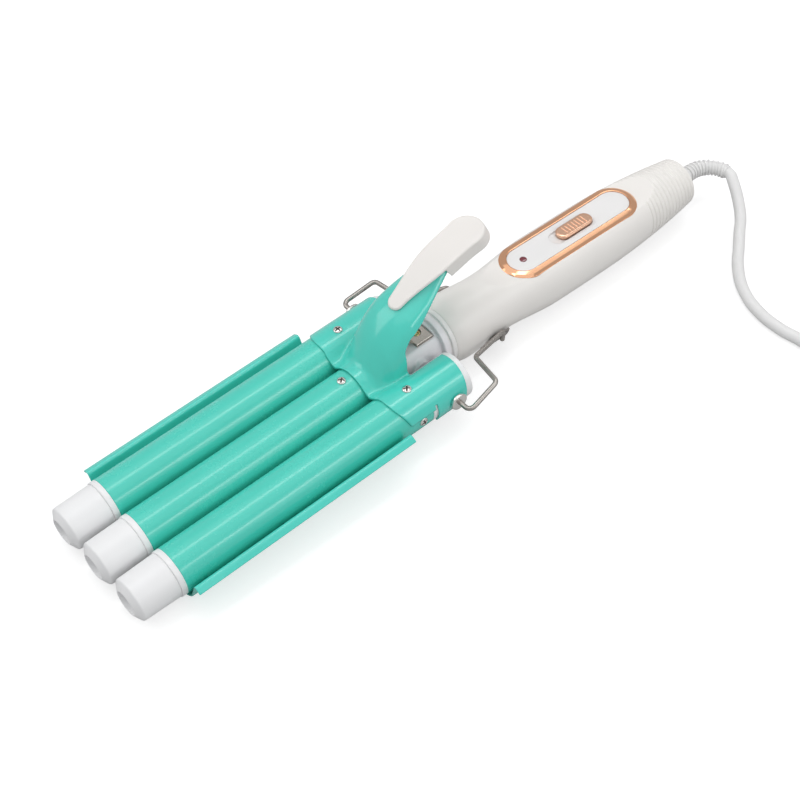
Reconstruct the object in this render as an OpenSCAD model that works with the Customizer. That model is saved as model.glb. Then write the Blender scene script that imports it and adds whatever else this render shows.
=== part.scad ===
// Three-barrel hair waver at rest on a flat surface.
// Device frame: the origin is on the clamp hinge, +X points to the barrel tips, +Z up.
// Handle frame: the device frame turned down by handle_droop about the hinge.
// Row frame: the device laid on its lower jaw and on the belly of its handle, origin under its middle.

/* [Barrels] */
// Outside diameter of each heated barrel
barrel_d = 25; // [19:1:32]
// Gap between neighbouring barrels
barrel_gap = 1.7; // [1.2:0.1:4]
// Distance from the clamp hinge to the front end of the barrels
barrel_reach = 164.5; // [110:0.5:220]
// Wall of the barrel tubes
barrel_wall = 1; // [0.6:0.1:1.5]
// Length of the tip caps that stand out of the barrels
tip_len = 26; // [18:1:40]

/* [Handle] */
// Distance from the clamp hinge to the rear face of the handle
handle_reach = 201.5; // [195:0.5:260]
// Radius of the grip at its belly
belly_r = 19.6; // [18.4:0.1:24]
// Radius of the narrow waist behind the hinge
waist_r = 16.8; // [16.4:0.1:18]
// Radius of the flare at the front of the handle
flare_r = 18.3; // [16.9:0.1:20]
// Wall of the handle shell
handle_wall = 2.4; // [1.6:0.1:3]
// Angle between the handle and the barrels
handle_droop = 2.4; // [0:0.1:4]

/* [Panel and switch] */
// Width of the control panel inside its bezel
panel_w = 17.6; // [14:0.2:20]
// Length of the straight part of the control panel
panel_straight = 66.9; // [50:0.1:80]
// Length of the slide button
button_l = 24; // [16:0.5:28]
// Width of the slide button
button_w = 8.6; // [6:0.1:11]
// Forward travel of the slide button
button_travel = 4.5; // [3:0.1:6]

/* [Clamp] */
// Thickness of the pressed steel sheet
sheet_t = 1; // [0.8:0.1:1.4]
// Slope of the thumb tongue above the barrels
tongue_slope = 24; // [18:1:30]
// Length of the thumb cover
cover_l = 63; // [50:1:75]
// Radius of the round end of the thumb cover
cover_r = 12; // [10:0.5:14]

/* [Stand and cord] */
// Diameter of the stand wire
wire_d = 2.4; // [1.8:0.1:2.8]
// Diameter of the power cord
cord_d = 6.5; // [5:0.1:8]
// Length of each plug pin
pin_l = 19; // [17:0.5:20]

/* [Hidden] */
$fn = 64;
eps = 0.01;
seam = 0.02;

// Fits
running_fit = 0.05;
press_fit = 0.05;
side_gap = 0.3;
seat_gap = 0.02;

// Barrels, their end parts and their places
barrel_r = barrel_d / 2;
pitch = barrel_d + barrel_gap;
bore_r = barrel_r - barrel_wall;
spigot_r = bore_r - press_fit;
barrel_rear = 14.5;
middle_barrel_rear = 10.3;
plug_rear = -11.5;
plug_spigot_l = 14;
cap_ring_r = barrel_r - 0.1;
cap_ring_l = 3;
cap_groove = 0.3;
cap_root_r = barrel_r - 0.7;
cap_body_r = barrel_r - 1;
cap_face_r = 7;
cap_chamfer = 2.5;
cap_recess_r = 6.3;
cap_recess_depth = 1.8;
cap_spigot_l = 10;
cap_tip = barrel_reach + tip_len;
heater_gap = 3;
heater_shoe_t = 2;
heater_cap_gap = 8.5;
heater_rear = 50;
heater_front = barrel_reach - cap_spigot_l - heater_cap_gap;
heater_plate_w = 16;

// Hinge
hinge_shank_r = 2.5;
hinge_head_r = 4.75;
hinge_head_h = 1.7;
hinge_root_y = 6;
boss_r = 5.5;

// Small pan-head screws
screw_head_r = 2.4;
screw_head_h = 1.1;
screw_shank_r = 1.2;
screw_shank_l = 6;
screw_hole_r = screw_shank_r + 0.1;

// Upper sheet: radii round the outer barrels and the middle one, and its stations along the device
saddle_in_r = barrel_r + 0.1;
saddle_out_r = saddle_in_r + sheet_t;
crown_in_r = barrel_r + 0.4;
crown_out_r = crown_in_r + sheet_t;
valley_r = 5;
sheet_front = 34.5;
sheet_step = 12;
sheet_sweep_r = 18.4;
slit_l = 1.5;
slit_top = 7.5;
ear_rear = [-8.2, -5.5];
ear_low = -8;
ear_inner_y = 19.7;
saddle_low = 3.1;
ear_y = pitch + saddle_out_r;
clamp_screw_x = 20.8;
side_screw_x = 21.4;
side_screw_angle = 2;

// Lever root and tongue, on the cover's top plane through the knee
knee_x = 6.1;
knee_z = 38.5;
cover_t = 1.8;
cover_end_t = 8.5;
cover_low_r = 4;
cover_skirt_s = 32;
tongue_r = 8.5;
tongue_end_s = 46;
knee_r = 8;
knee_s = 3;
root_x = 12;
root_y = 10;
root_z = 10;
root_r = 6.5;
root_edge = [13, 16];
root_edge_slope = 38.3;
root_cut_y = 16.9;
hull_fn = 32;

// Lower jaw: radii round the barrels, walls and lips
jaw_in_r = barrel_r + 1.4;
jaw_out_r = jaw_in_r + sheet_t;
jaw_mid_in_r = barrel_r + seat_gap;
jaw_mid_out_r = jaw_mid_in_r + sheet_t;
jaw_ridge_r = 3;
jaw_rear = 33.5;
jaw_front = barrel_reach - 1;
jaw_wall_angle = 25;
jaw_fold = [17.3, 5];
jaw_fold_r = 1.5;
jaw_lip = [20.8, 2.7];
rivet_r = 1.6;
rivet_head_r = 2.8;
rivet_head_h = 0.8;
rivet_count = 3;
middle_barrel_grip = sheet_t + barrel_wall;

// Neck
neck_r = barrel_r - 0.3;
neck_bore_r = 8;
neck_spigot_front = 48;
middle_screw_x = 40.4;
flange_r = 15.6;
flange_s = [15, 18.4];
collar_s = [19.4, 21.8];
collar_r = 16.3;
seal_r = 15.1;
neck_plug_r = 13.9;
neck_plug_s = 30;
flat_x = [-14.2, 6];
flat_z = 9.6;

// Leaf spring
leaf_t = 0.9;
leaf_w = 14.2;
leaf_gap = 0.2;
leaf_x = [-12.8, -2.8];
leaf_arm_w = 10;
leaf_arm_angle = 46;
leaf_arm_l = 21.2;
spring_screw_x = -8.1;
spring_screw_l = 2.4;

// Handle profile, as distances behind the hinge
front_s = collar_s[1];
flare_s = 30.5;
waist_s = 56;
belly_s = 95.5;
taper_l = 76;
taper_s = handle_reach - taper_l;
taper_r = 500;
front_edge_r = 16.4;
rear_chamfer = 1.2;
rib_count = 13;
rib_pitch = 2.9;
rib_first_s = handle_reach - 38;
rib_groove_r = 0.8;
rib_depth = 0.4;

// Panel seat on top of the handle
panel_front_s = 82.1;
panel_rear_s = panel_front_s + panel_straight;
panel_r = panel_w / 2;
bezel_r = panel_r + 4.2;
seat_z = 14.3;
bezel_foot_z = 13;
ceiling_z = 11.8;
panel_z = 15.4;
bezel_lip_z = 15.9;
scoop_r = 40;
window_r = bezel_r - 1.4;
panel_flange_r = panel_r + 1.5;
panel_flange_z = 12;
recess_depth = 0.7;
button_rear_s = 131.2;
button_s = button_rear_s - button_l / 2;
button_top_z = panel_z + 2.1;
button_edge = 0.8;
ridge_count = 7;
ridge_pitch = 2.3;
ridge_r = 0.45;
ridge_l = button_w - 2.6;
stem_l = 5;
stem_w = 2.6;
lens_r = 2;
lens_proud = 0.4;

// Board and what stands on it
board_s = [80, 154];
board_w = 18;
board_z = [5, 6.6];
post_r = 2;
post_s = [88, 146];
post_y = 6;
switch_size = [14, 10, 3.8];
lamp_r = 1.5;
lamp_h = 3;
lamp_gap = 0.2;
mains_lead_r = 1.2;
heater_lead_r = 1;
lead_lap = 3;
lead_out = 6;

// Relay and triac as [distance behind the hinge, sideways, length, width, height], then the smoothing
// capacitor and two dropper resistors as [distance, sideways, length, radius]
BLOCKS = [[112, -7, 15, 13, 10], [140, -6, 8, 12, 7]];
CANS = [[127, 0, 12, 5], [150, 3, 9, 2], [150, -4, 9, 2]];

// Cord outlet
relief_straight = 12;
relief_bend_r = 15;
relief_angle = 85;
relief_root_r = 5.4;
relief_root_l = 3;
relief_bore_r = 4.4;
relief_core_r = 3.8;
relief_ribs = 13;
relief_rib_r = [4.9, 4.3];
relief_rib_t = 1.1;

// Rest stand: the wire's corners beside and behind the hinge, and the foot plate under the handle
wire_corner = [-20.2, 7, 4.3];
wire_turn = [-24.1, pitch, 2.6];
wire_out = 9.3;
wire_bend_r = 3;
wire_seat = 1.8;
wire_hook_angle = 18;
foot_x = [-55.5, -42.5];
foot_in_r = flare_r + 0.1;
foot_t = 1.2;
foot_end_angle = 10;

// Rest pose on a flat surface: the jaw's front lower edge and the belly's rear end touch it
belly_x = -taper_s * cos(handle_droop) + belly_r * sin(handle_droop);
belly_z = -taper_s * sin(handle_droop) - belly_r * cos(handle_droop);
rest_tilt = atan((-jaw_out_r - belly_z) / (jaw_front - belly_x));
lift_z = jaw_front * sin(rest_tilt) + jaw_out_r * cos(rest_tilt);
front_x = cap_tip * cos(rest_tilt) + cap_face_r * sin(rest_tilt);
rear_r = belly_r - taper_l * taper_l / (2 * taper_r) - rear_chamfer;
rear_x = -handle_reach * cos(rest_tilt - handle_droop) + rear_r * sin(rest_tilt - handle_droop);
shift_x = -(front_x + rear_x) / 2;

// Cord route on the resting surface, from the strain relief to the coil, and from the coil to the plug,
// with the origin under the handle's rear face
CORD_ROUTE = [
    [-26.9, 12, 18.8], [-26.9, 16, 18.7], [-24.9, 20, 17.6], [-19.9, 29, 13], [-12.9, 38, 8.3],
    [-6.9, 43, 5.5], [0, 49, 3.7], [13, 60, 3.4], [24, 74, 3.4], [30, 90, 3.4],
    [31, 106, 3.4], [29.2, 119, 3.4], [29.6, 127, 3.4], [31.6, 134, 3.4]
];
LEAD_ROUTE = [[-38.3, 174, 9.4], [-39.3, 162, 8.2], [-38.9, 151, 6.9]];
coil_centre = [11.1, 180];
coil_in_r = 22.5;
coil_out_r = 51.6;
coil_h = 2 * cord_d;
tube_sides = 8;
wire_sides = 12;

// Plug, with its origin in the middle of the pins' face
plug_at = [-46.4, 97, 6.9];
plug_yaw = 262;
plug_face_w = 35;
plug_face_h = 13.6;
plug_face_l = 9;
plug_neck_r = 5.6;
plug_taper_l = 18;
plug_sleeve_l = 28;
plug_sleeve_r = 4.2;
pin_r = 2;
pin_tip_l = 1.2;
pin_tip_r = 1.2;
pin_pitch = 18.6;

// ---------------------------------------------------------------------------------------------
// Frames and shared shapes

module in_device() {
    translate([shift_x, 0, lift_z]) rotate([0, rest_tilt, 0]) children();
}

module in_handle() {
    in_device() rotate([0, -handle_droop, 0]) children();
}

module behind_handle() {
    translate([rear_x + shift_x, 0, 0]) children();
}

// Local +X runs up the tongue, local +Z stands out of the thumb cover's top face
module in_tongue() {
    translate([knee_x, 0, knee_z]) rotate([0, tongue_slope, 0]) rotate([0, 0, 180]) children();
}

module both_sides() {
    children();
    mirror([0, 1, 0]) children();
}

module extrude_x(x0, x1) {
    translate([x0, 0, 0]) rotate([90, 0, 90]) linear_extrude(x1 - x0) children();
}

module extrude_y(y0, y1) {
    translate([0, y1, 0]) rotate([90, 0, 0]) linear_extrude(y1 - y0) children();
}

module rod_x(x0, x1, r) {
    translate([x0, 0, 0]) rotate([0, 90, 0]) cylinder(h = x1 - x0, r = r);
}

module tube_x(x0, x1, outer, inner) {
    extrude_x(x0, x1) difference() {
        circle(r = outer);
        circle(r = inner);
    }
}

// Solid of revolution about X from [x, radius] points
module revolve_x(points) {
    rotate([0, 90, 0]) rotate_extrude() polygon([for (p = points) [p[1], p[0]]]);
}

// Outline with round ends: centres on X from -a to -b behind the hinge
module stadium(a, b, r) {
    translate([-a, 0]) circle(r = r);
    translate([-b, 0]) circle(r = r);
    translate([-b, -r]) square([b - a, 2 * r]);
}

function unit(v) = v / norm(v);

function arc(centre, r, from, to, steps) = [
    for (i = [0 : steps])
        let (a = from + (to - from) * i / steps)
        centre + r * [cos(a), sin(a)]
];

// Drop outline: a small and a large round end, and straight sides between them
module drop(low_r, high_r, distance) {
    turn = 90 + asin((high_r - low_r) / distance);
    polygon(concat(
        arc([distance, 0], high_r, -turn, turn, 40), arc([0, 0], low_r, turn, 360 - turn, 12)
    ));
}

function mirrored(points) = [for (i = [len(points) - 1 : -1 : 0]) [-points[i][0], points[i][1]]];

// Points moved off a line by a distance, mitred where it bends
function beside(points, distance) = [
    for (i = [0 : len(points) - 1])
        let (
            before = unit(points[max(i, 1)] - points[max(i, 1) - 1]),
            after = unit(points[min(i + 1, len(points) - 1)] - points[min(i, len(points) - 2)]),
            along = unit(before + after)
        )
        points[i] + [-along[1], along[0]] * distance / (along * after)
];

// Bent sheet in section: a band of even thickness along the points
module strip(points, t) {
    far_side = beside(points, t / 2);
    polygon(concat(beside(points, -t / 2), [for (i = [len(points) - 1 : -1 : 0]) far_side[i]]));
}

// Points of a line bent to radius r at each inner corner
function bent_line(points, r, steps = 5) = [
    points[0],
    for (i = [1 : len(points) - 2])
        let (
            before = unit(points[i] - points[i - 1]),
            after = unit(points[i + 1] - points[i]),
            turn = acos(before * after),
            centre = points[i] + unit(after - before) * r / cos(turn / 2),
            out = unit(points[i] - before * r * tan(turn / 2) - centre)
        )
        for (k = [0 : steps])
            centre + r * (out * cos(turn * k / steps) + before * sin(turn * k / steps)),
    points[len(points) - 1]
];

function heading(route, i) = unit(route[min(i + 1, len(route) - 1)] - route[max(i - 1, 0)]);

// One side direction for each point, carried along the route without twist
function carried(route, sides) =
    len(sides) == len(route) ? sides
    : let (along = heading(route, len(sides)), last = sides[len(sides) - 1])
        carried(route, concat(sides, [unit(last - along * (last * along))]));

// Tube swept along the route's own points
module soft_tube(route, d, sides) {
    last = len(route) - 1;
    start = heading(route, 0);
    across = carried(route, [unit(cross(start, abs(start[2]) < 0.9 ? [0, 0, 1] : [1, 0, 0]))]);
    rings = [
        for (i = [0 : last], k = [0 : sides - 1])
            let (side = across[i], up = cross(side, heading(route, i)))
            route[i] + (side * cos(360 * k / sides) + up * sin(360 * k / sides)) * d / 2
    ];
    walls = [
        for (i = [0 : last - 1], k = [0 : sides - 1])
            let (n = (k + 1) % sides)
            [i * sides + k, (i + 1) * sides + k, (i + 1) * sides + n, i * sides + n]
    ];
    first_end = [for (k = [0 : sides - 1]) k];
    last_end = [for (k = [sides - 1 : -1 : 0]) last * sides + k];
    polyhedron(points = rings, faces = concat(walls, [first_end, last_end]), convexity = 4);
}

module pan_screw(shank_l = screw_shank_l) {
    edge = 0.4;
    rotate_extrude() polygon([
        [0, -shank_l], [screw_shank_r, -shank_l], [screw_shank_r, 0], [screw_head_r, 0],
        [screw_head_r, screw_head_h - edge], [screw_head_r - edge, screw_head_h], [0, screw_head_h]
    ]);
}

module screw_hole(depth) {
    translate([0, 0, -depth]) cylinder(h = depth + screw_head_h, r = screw_hole_r);
}

// ---------------------------------------------------------------------------------------------
// Handle

function ease(t) = (1 - cos(180 * t)) / 2;

function share(s, a, b) = (s - a) / (b - a);

function handle_r(s) =
    s < flare_s ? front_edge_r + (flare_r - front_edge_r) * sin(90 * share(s, front_s, flare_s))
    : s < waist_s ? flare_r + (waist_r - flare_r) * ease(share(s, flare_s, waist_s))
    : s < belly_s ? waist_r + (belly_r - waist_r) * ease(share(s, waist_s, belly_s))
    : s < taper_s ? belly_r
    : belly_r - pow(s - taper_s, 2) / (2 * taper_r);

function spaced(a, b, n) = [for (i = [0 : n - 1]) a + (b - a) * i / n];

function handle_stations(rear) = concat(
    spaced(front_s, flare_s, 5), spaced(flare_s, waist_s, 8), spaced(waist_s, belly_s, 9),
    [belly_s], spaced(taper_s, rear, 10), [rear]
);

module handle_solid() {
    outline = [for (s = handle_stations(handle_reach - rear_chamfer)) [-s, handle_r(s)]];
    revolve_x(concat([[-front_s, 0]], outline, [[-handle_reach, rear_r], [-handle_reach, 0]]));
}

module handle_cavity() {
    floor_s = handle_reach - handle_wall;
    outline = [for (s = handle_stations(floor_s)) [-s, handle_r(s) - handle_wall]];
    intersection() {
        revolve_x(concat([[-front_s, 0]], outline, [[-floor_s, 0]]));
        translate([-handle_reach, -belly_r, -belly_r])
            cube([handle_reach, 2 * belly_r, belly_r + ceiling_z]);
    }
    rod_x(-neck_plug_s - 1, -front_s + 1, neck_plug_r + press_fit);
}

// Flat seat for the panel, run out at both ends on round scoops
module panel_seat_cut() {
    front = panel_front_s - bezel_r;
    rear = panel_rear_s + bezel_r;
    for (s = [front, rear]) translate([-s, 0, seat_z + scoop_r])
        rotate([90, 0, 0]) cylinder(h = 3 * belly_r, r = scoop_r, center = true, $fn = 128);
    translate([-rear, -2 * belly_r, seat_z]) cube([rear - front, 4 * belly_r, scoop_r]);
}

module rib_grooves() {
    for (i = [0 : rib_count - 1]) {
        s = rib_first_s + i * rib_pitch;
        translate([-s, 0, 0]) rotate([0, 90, 0]) rotate_extrude()
            translate([handle_r(s) + rib_groove_r - rib_depth, 0]) circle(r = rib_groove_r, $fn = 24);
    }
}

module handle_shell() {
    color("ivory") in_handle() difference() {
        handle_solid();
        handle_cavity();
        panel_seat_cut();
        rib_grooves();
        translate([0, 0, bezel_foot_z]) linear_extrude(belly_r)
            stadium(panel_front_s, panel_rear_s, bezel_r + press_fit);
        linear_extrude(belly_r) stadium(panel_front_s, panel_rear_s, window_r);
        rod_x(-handle_reach - 1, -handle_reach + handle_wall + 1, relief_bore_r);
    }
}

module handle_collar() {
    edge = 0.5;
    color("white") in_handle() revolve_x([
        [-collar_s[1], neck_plug_r + press_fit], [-collar_s[1], collar_r],
        [-collar_s[0] - edge, collar_r], [-collar_s[0], collar_r - edge],
        [-collar_s[0], neck_plug_r + press_fit]
    ]);
}

module neck() {
    wire_way = 2 * barrel_reach;
    edge = 0.6;
    color("gainsboro") difference() {
        union() {
            in_device() {
                rod_x(-flange_s[0], middle_barrel_rear, neck_r);
                rod_x(middle_barrel_rear - eps, neck_spigot_front, spigot_r);
                both_sides() rotate([-90, 0, 0]) cylinder(h = pitch / 2 + 0.4, r = boss_r);
            }
            in_handle() revolve_x([
                [-neck_plug_s, 0], [-neck_plug_s, neck_plug_r], [-collar_s[0], neck_plug_r],
                [-collar_s[0], seal_r], [-flange_s[1], seal_r], [-flange_s[1], flange_r],
                [-flange_s[0] - edge, flange_r], [-flange_s[0], flange_r - edge], [-flange_s[0], 0]
            ]);
        }
        in_device() {
            rod_x(-neck_plug_s - barrel_d, wire_way, neck_bore_r);
            both_sides() rotate([-90, 0, 0]) cylinder(h = pitch, r = hinge_shank_r);
            translate([middle_screw_x, 0, barrel_r]) screw_hole(barrel_r);
            translate([flat_x[0], -neck_r, flat_z]) cube([flat_x[1] - flat_x[0], 2 * neck_r, neck_r]);
            translate([spring_screw_x, 0, flat_z]) screw_hole(barrel_r);
        }
    }
}

// ---------------------------------------------------------------------------------------------
// Panel, switch and board

module panel_bezel() {
    lip = 0.5;
    section = [
        [panel_r, bezel_foot_z], [bezel_r, bezel_foot_z], [bezel_r, seat_z],
        [panel_r + lip, bezel_lip_z], [panel_r, bezel_lip_z]
    ];
    color("peru") in_handle() {
        both_sides() extrude_x(-panel_rear_s, -panel_front_s) polygon(section);
        translate([-panel_front_s, 0, 0]) rotate(-90) rotate_extrude(angle = 180) polygon(section);
        translate([-panel_rear_s, 0, 0]) rotate(90) rotate_extrude(angle = 180) polygon(section);
    }
}

module control_panel() {
    recess_r = button_w / 2 + side_gap;
    recess_z = panel_z - recess_depth;
    stem_rear_s = button_s + stem_l / 2 + side_gap;
    stem_front_s = button_s - stem_l / 2 - button_travel - side_gap;
    color("whitesmoke") in_handle() difference() {
        union() {
            translate([0, 0, panel_flange_z]) linear_extrude(bezel_foot_z - panel_flange_z)
                stadium(panel_front_s, panel_rear_s, panel_flange_r);
            translate([0, 0, panel_flange_z]) linear_extrude(panel_z - panel_flange_z)
                stadium(panel_front_s, panel_rear_s, panel_r - press_fit);
            for (s = post_s, y = [-post_y, post_y]) translate([-s, y, board_z[1]])
                cylinder(h = panel_flange_z - board_z[1] + eps, r = post_r);
        }
        translate([0, 0, recess_z]) linear_extrude(recess_depth + 1) stadium(
            button_rear_s - button_l - button_travel + button_w / 2,
            button_rear_s - button_w / 2, recess_r
        );
        translate([-stem_rear_s, -stem_w / 2 - side_gap, panel_flange_z - 1])
            cube([stem_rear_s - stem_front_s, stem_w + 2 * side_gap, panel_z]);
        translate([-panel_front_s, 0, 0]) cylinder(h = belly_r, r = lens_r + press_fit);
    }
}

module indicator_lens() {
    foot_z = board_z[1] + lamp_h + lamp_gap;
    color("darkred") in_handle() translate([-panel_front_s, 0, foot_z])
        cylinder(h = panel_z + lens_proud - foot_z, r = lens_r);
}

module switch_button() {
    foot_z = panel_z - recess_depth + side_gap;
    stem_z = board_z[1] + switch_size[2] + side_gap;
    front_s = button_rear_s - button_l + button_w / 2;
    rear_s = button_rear_s - button_w / 2;
    color("peru") in_handle() {
        translate([0, 0, foot_z]) linear_extrude(button_top_z - button_edge - foot_z)
            stadium(front_s, rear_s, button_w / 2);
        translate([0, 0, button_top_z - button_edge - eps]) linear_extrude(button_edge + eps)
            stadium(front_s, rear_s, button_w / 2 - button_edge);
        translate([-button_s - stem_l / 2, -stem_w / 2, stem_z])
            cube([stem_l, stem_w, foot_z - stem_z + eps]);
        for (i = [0 : ridge_count - 1])
            translate([-button_s + (i - (ridge_count - 1) / 2) * ridge_pitch, 0, button_top_z])
                rotate([90, 0, 0]) cylinder(h = ridge_l, r = ridge_r, center = true, $fn = 24);
    }
}

module power_switch() {
    rear = -button_s - (switch_size[0] - button_travel) / 2;
    color("dimgray") in_handle() translate([rear, -switch_size[1] / 2, board_z[1]]) cube(switch_size);
}

module circuit_board() {
    color("seagreen") in_handle() translate([-board_s[1], -board_w / 2, board_z[0]])
        cube([board_s[1] - board_s[0], board_w, board_z[1] - board_z[0]]);
}

module board_components() {
    color("slategray") in_handle() translate([0, 0, board_z[0]]) {
        for (b = BLOCKS) translate([-b[0], b[1], -b[4]]) cube([b[2], b[3], b[4]]);
        for (c = CANS) translate([-c[0], c[1], -c[3]]) rotate([0, 90, 0]) cylinder(h = c[2], r = c[3]);
    }
}

module indicator_lamp() {
    color("crimson") in_handle() translate([-panel_front_s, 0, board_z[1]])
        cylinder(h = lamp_h, r = lamp_r);
}

module mains_leads() {
    from_z = board_z[0] - mains_lead_r;
    color("saddlebrown") in_handle() for (y = [-2, 2]) soft_tube(bent_line([
        [-board_s[1] + lead_lap, y * 2, from_z], [-board_s[1] - lead_out, y * 2, from_z],
        [-board_s[1] - 3 * lead_out, y, 0], [-handle_reach, y, 0]
    ], 4), 2 * mains_lead_r, tube_sides);
}

module heater_leads() {
    from_z = board_z[0] - heater_lead_r;
    color("goldenrod") in_handle() for (y = [-5, -2, 2, 5]) soft_tube(bent_line([
        [-board_s[0] - lead_lap, y, from_z], [-board_s[0] + lead_out, y, from_z],
        [-board_s[0] + 3 * lead_out, y, 0], [heater_rear, y, 0]
    ], 6), 2 * heater_lead_r, tube_sides);
}

// ---------------------------------------------------------------------------------------------
// Barrels

module barrel_tube(rear) {
    tube_x(rear, barrel_reach, barrel_r, bore_r);
}

module middle_barrel() {
    color("mediumturquoise") in_device() difference() {
        barrel_tube(middle_barrel_rear);
        translate([middle_screw_x, 0, barrel_r]) screw_hole(barrel_wall + 1);
        rivet_places() cylinder(h = middle_barrel_grip + 1, r = rivet_r);
    }
}

module outer_barrel(side) {
    color("mediumturquoise") in_device() difference() {
        translate([0, side * pitch, 0]) barrel_tube(barrel_rear);
        clamp_screw_places(side) screw_hole(screw_shank_l);
    }
}

module left_barrel() {
    outer_barrel(-1);
}

module right_barrel() {
    outer_barrel(1);
}

module tip_cap(side) {
    at = barrel_reach;
    ring_end = at + cap_ring_l;
    color("snow") in_device() translate([0, side * pitch, 0]) revolve_x([
        [at - cap_spigot_l, 0], [at - cap_spigot_l, spigot_r], [at, spigot_r], [at, cap_ring_r],
        [ring_end, cap_ring_r], [ring_end, cap_root_r - cap_groove],
        [ring_end + cap_groove, cap_root_r - cap_groove], [ring_end + cap_groove, cap_root_r],
        [cap_tip - cap_chamfer, cap_body_r], [cap_tip, cap_face_r], [cap_tip, cap_recess_r],
        [cap_tip - cap_recess_depth, cap_recess_r - cap_groove], [cap_tip - cap_recess_depth, 0]
    ]);
}

module middle_tip_cap() {
    tip_cap(0);
}

module left_tip_cap() {
    tip_cap(-1);
}

module right_tip_cap() {
    tip_cap(1);
}

// Heating plate clamped between two hollow aluminium shoes
module heater(side) {
    shoe_in_r = spigot_r - heater_shoe_t;
    color("silver") in_device() translate([0, side * pitch, 0])
        extrude_x(heater_rear, heater_front) {
            difference() {
                circle(r = spigot_r);
                square([barrel_d, heater_gap], center = true);
                difference() {
                    circle(r = shoe_in_r);
                    square([barrel_d, heater_gap + 2 * heater_shoe_t], center = true);
                }
            }
            square([heater_plate_w, heater_gap], center = true);
        }
}

module middle_heater() {
    heater(0);
}

module left_heater() {
    heater(-1);
}

module right_heater() {
    heater(1);
}

// ---------------------------------------------------------------------------------------------
// Sheet metal round the three barrels

// Region round the barrels in section, the valleys between them filled on one radius
module barrel_region(side_r, middle_r, fillet) {
    a = middle_r + fillet;
    b = side_r + fillet;
    y = (pitch * pitch + a * a - b * b) / (2 * pitch);
    z = sqrt(a * a - y * y);
    circle(r = middle_r);
    both_edges() translate([pitch, 0]) circle(r = side_r);
    both_edges() difference() {
        polygon([[0, 0], [pitch, 0], [y, z]]);
        translate([y, z]) circle(r = fillet + seam);
    }
}

module both_edges() {
    children();
    mirror([1, 0]) children();
}

// Jaw sheet in section: under the middle barrel, over a ridge, round the side barrel, up the wall
module jaw_section() {
    side = [pitch, 0];
    middle_r = jaw_mid_in_r + sheet_t / 2;
    side_r = jaw_in_r + sheet_t / 2;
    ridge_r = jaw_ridge_r - sheet_t / 2;
    a = middle_r + ridge_r;
    b = side_r + ridge_r;
    y = (pitch * pitch + a * a - b * b) / (2 * pitch);
    z = sqrt(a * a - y * y);
    middle_angle = atan2(z, y);
    side_angle = atan2(z, pitch - y);
    spare = 12;
    trough = arc(side, side_r, 180 + side_angle, 360 - jaw_wall_angle, 24);
    wall = bent_line([trough[len(trough) - 1], side + jaw_fold, side + jaw_lip], jaw_fold_r);
    right = concat(
        arc([0, 0], middle_r, -90, -middle_angle, 12),
        arc([y, -z], ridge_r, 180 - middle_angle - spare, side_angle + spare, 8),
        trough, [for (i = [1 : len(wall) - 1]) wall[i]]
    );
    strip(concat(mirrored([for (i = [1 : len(right) - 1]) right[i]]), right), sheet_t);
}

module rivet_places() {
    span = jaw_front - neck_spigot_front - 2 * plug_spigot_l;
    for (i = [0 : rivet_count - 1])
        translate([
            neck_spigot_front + plug_spigot_l + span * i / (rivet_count - 1), 0, -jaw_mid_out_r
        ]) children();
}

module lower_jaw() {
    color("mediumturquoise") in_device() difference() {
        extrude_x(jaw_rear, jaw_front) jaw_section();
        rivet_places() translate([0, 0, -1]) cylinder(h = middle_barrel_grip + 2, r = rivet_r);
    }
}

module jaw_rivets() {
    color("lightgray") in_device() rivet_places() {
        translate([0, 0, -rivet_head_h]) cylinder(h = rivet_head_h, r = rivet_head_r);
        translate([0, 0, -eps]) cylinder(h = middle_barrel_grip, r = rivet_r - eps);
    }
}

module middle_barrel_screw() {
    color("lightgray") in_device()
        translate([middle_screw_x, 0, barrel_r]) pan_screw();
}

// Hull that gives the lever its domed root and tongue, drawn in by the sheet for its inside
module lever_form(inset) {
    hull() {
        in_tongue() {
            translate([tongue_end_s, 0, -cover_t - sheet_t - seat_gap - inset])
                cylinder(h = sheet_t, r = tongue_r - inset, $fn = hull_fn);
            translate([knee_s, 0, -cover_t - sheet_t - seat_gap - inset])
                cylinder(h = sheet_t, r = knee_r - inset, $fn = hull_fn);
        }
        extrude_x(sheet_front - 1, sheet_front) intersection() {
            circle(r = crown_out_r - inset, $fn = hull_fn);
            translate([-root_y + inset, 0]) square([2 * (root_y - inset), barrel_d]);
        }
        both_sides() translate([root_x, root_y, root_z]) sphere(r = root_r - inset, $fn = hull_fn);
    }
}

// Everything behind the lever's straight rear edges and under its tongue
module lever_rear_cut() {
    slope = [-cos(tongue_slope), sin(tongue_slope)];
    tongue_low = cover_t + sheet_t;
    under = [knee_x, knee_z] - tongue_low * [sin(tongue_slope), cos(tongue_slope)];
    wall_end = under + (cover_skirt_s - side_gap) * slope;
    edge_l = (root_edge[0] - wall_end[0]) / cos(root_edge_slope);
    far = 2 * cover_l;
    extrude_y(-root_cut_y, root_cut_y) polygon([
        [sheet_step, 0], root_edge,
        root_edge + edge_l * [-cos(root_edge_slope), sin(root_edge_slope)], wall_end,
        under + far * slope, [-far, -far], [sheet_step, -far]
    ]);
    extrude_y(-2 * pitch, 2 * pitch) polygon([
        [ear_rear[0], saddle_out_r], [ear_rear[1], ear_low], [-far, ear_low], [-far, saddle_out_r]
    ]);
}

module saddle_band() {
    ear_top = barrel_d;
    extrude_x(sheet_step, sheet_front) intersection() {
        barrel_region(saddle_out_r, crown_out_r, valley_r);
        translate([-2 * pitch, saddle_low]) square([4 * pitch, ear_top]);
    }
    extrude_x(ear_rear[0], sheet_step) intersection() {
        barrel_region(saddle_out_r, crown_out_r, valley_r);
        both_edges() translate([ear_inner_y, ear_low]) square([2 * pitch, ear_top + saddle_out_r]);
    }
}

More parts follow.
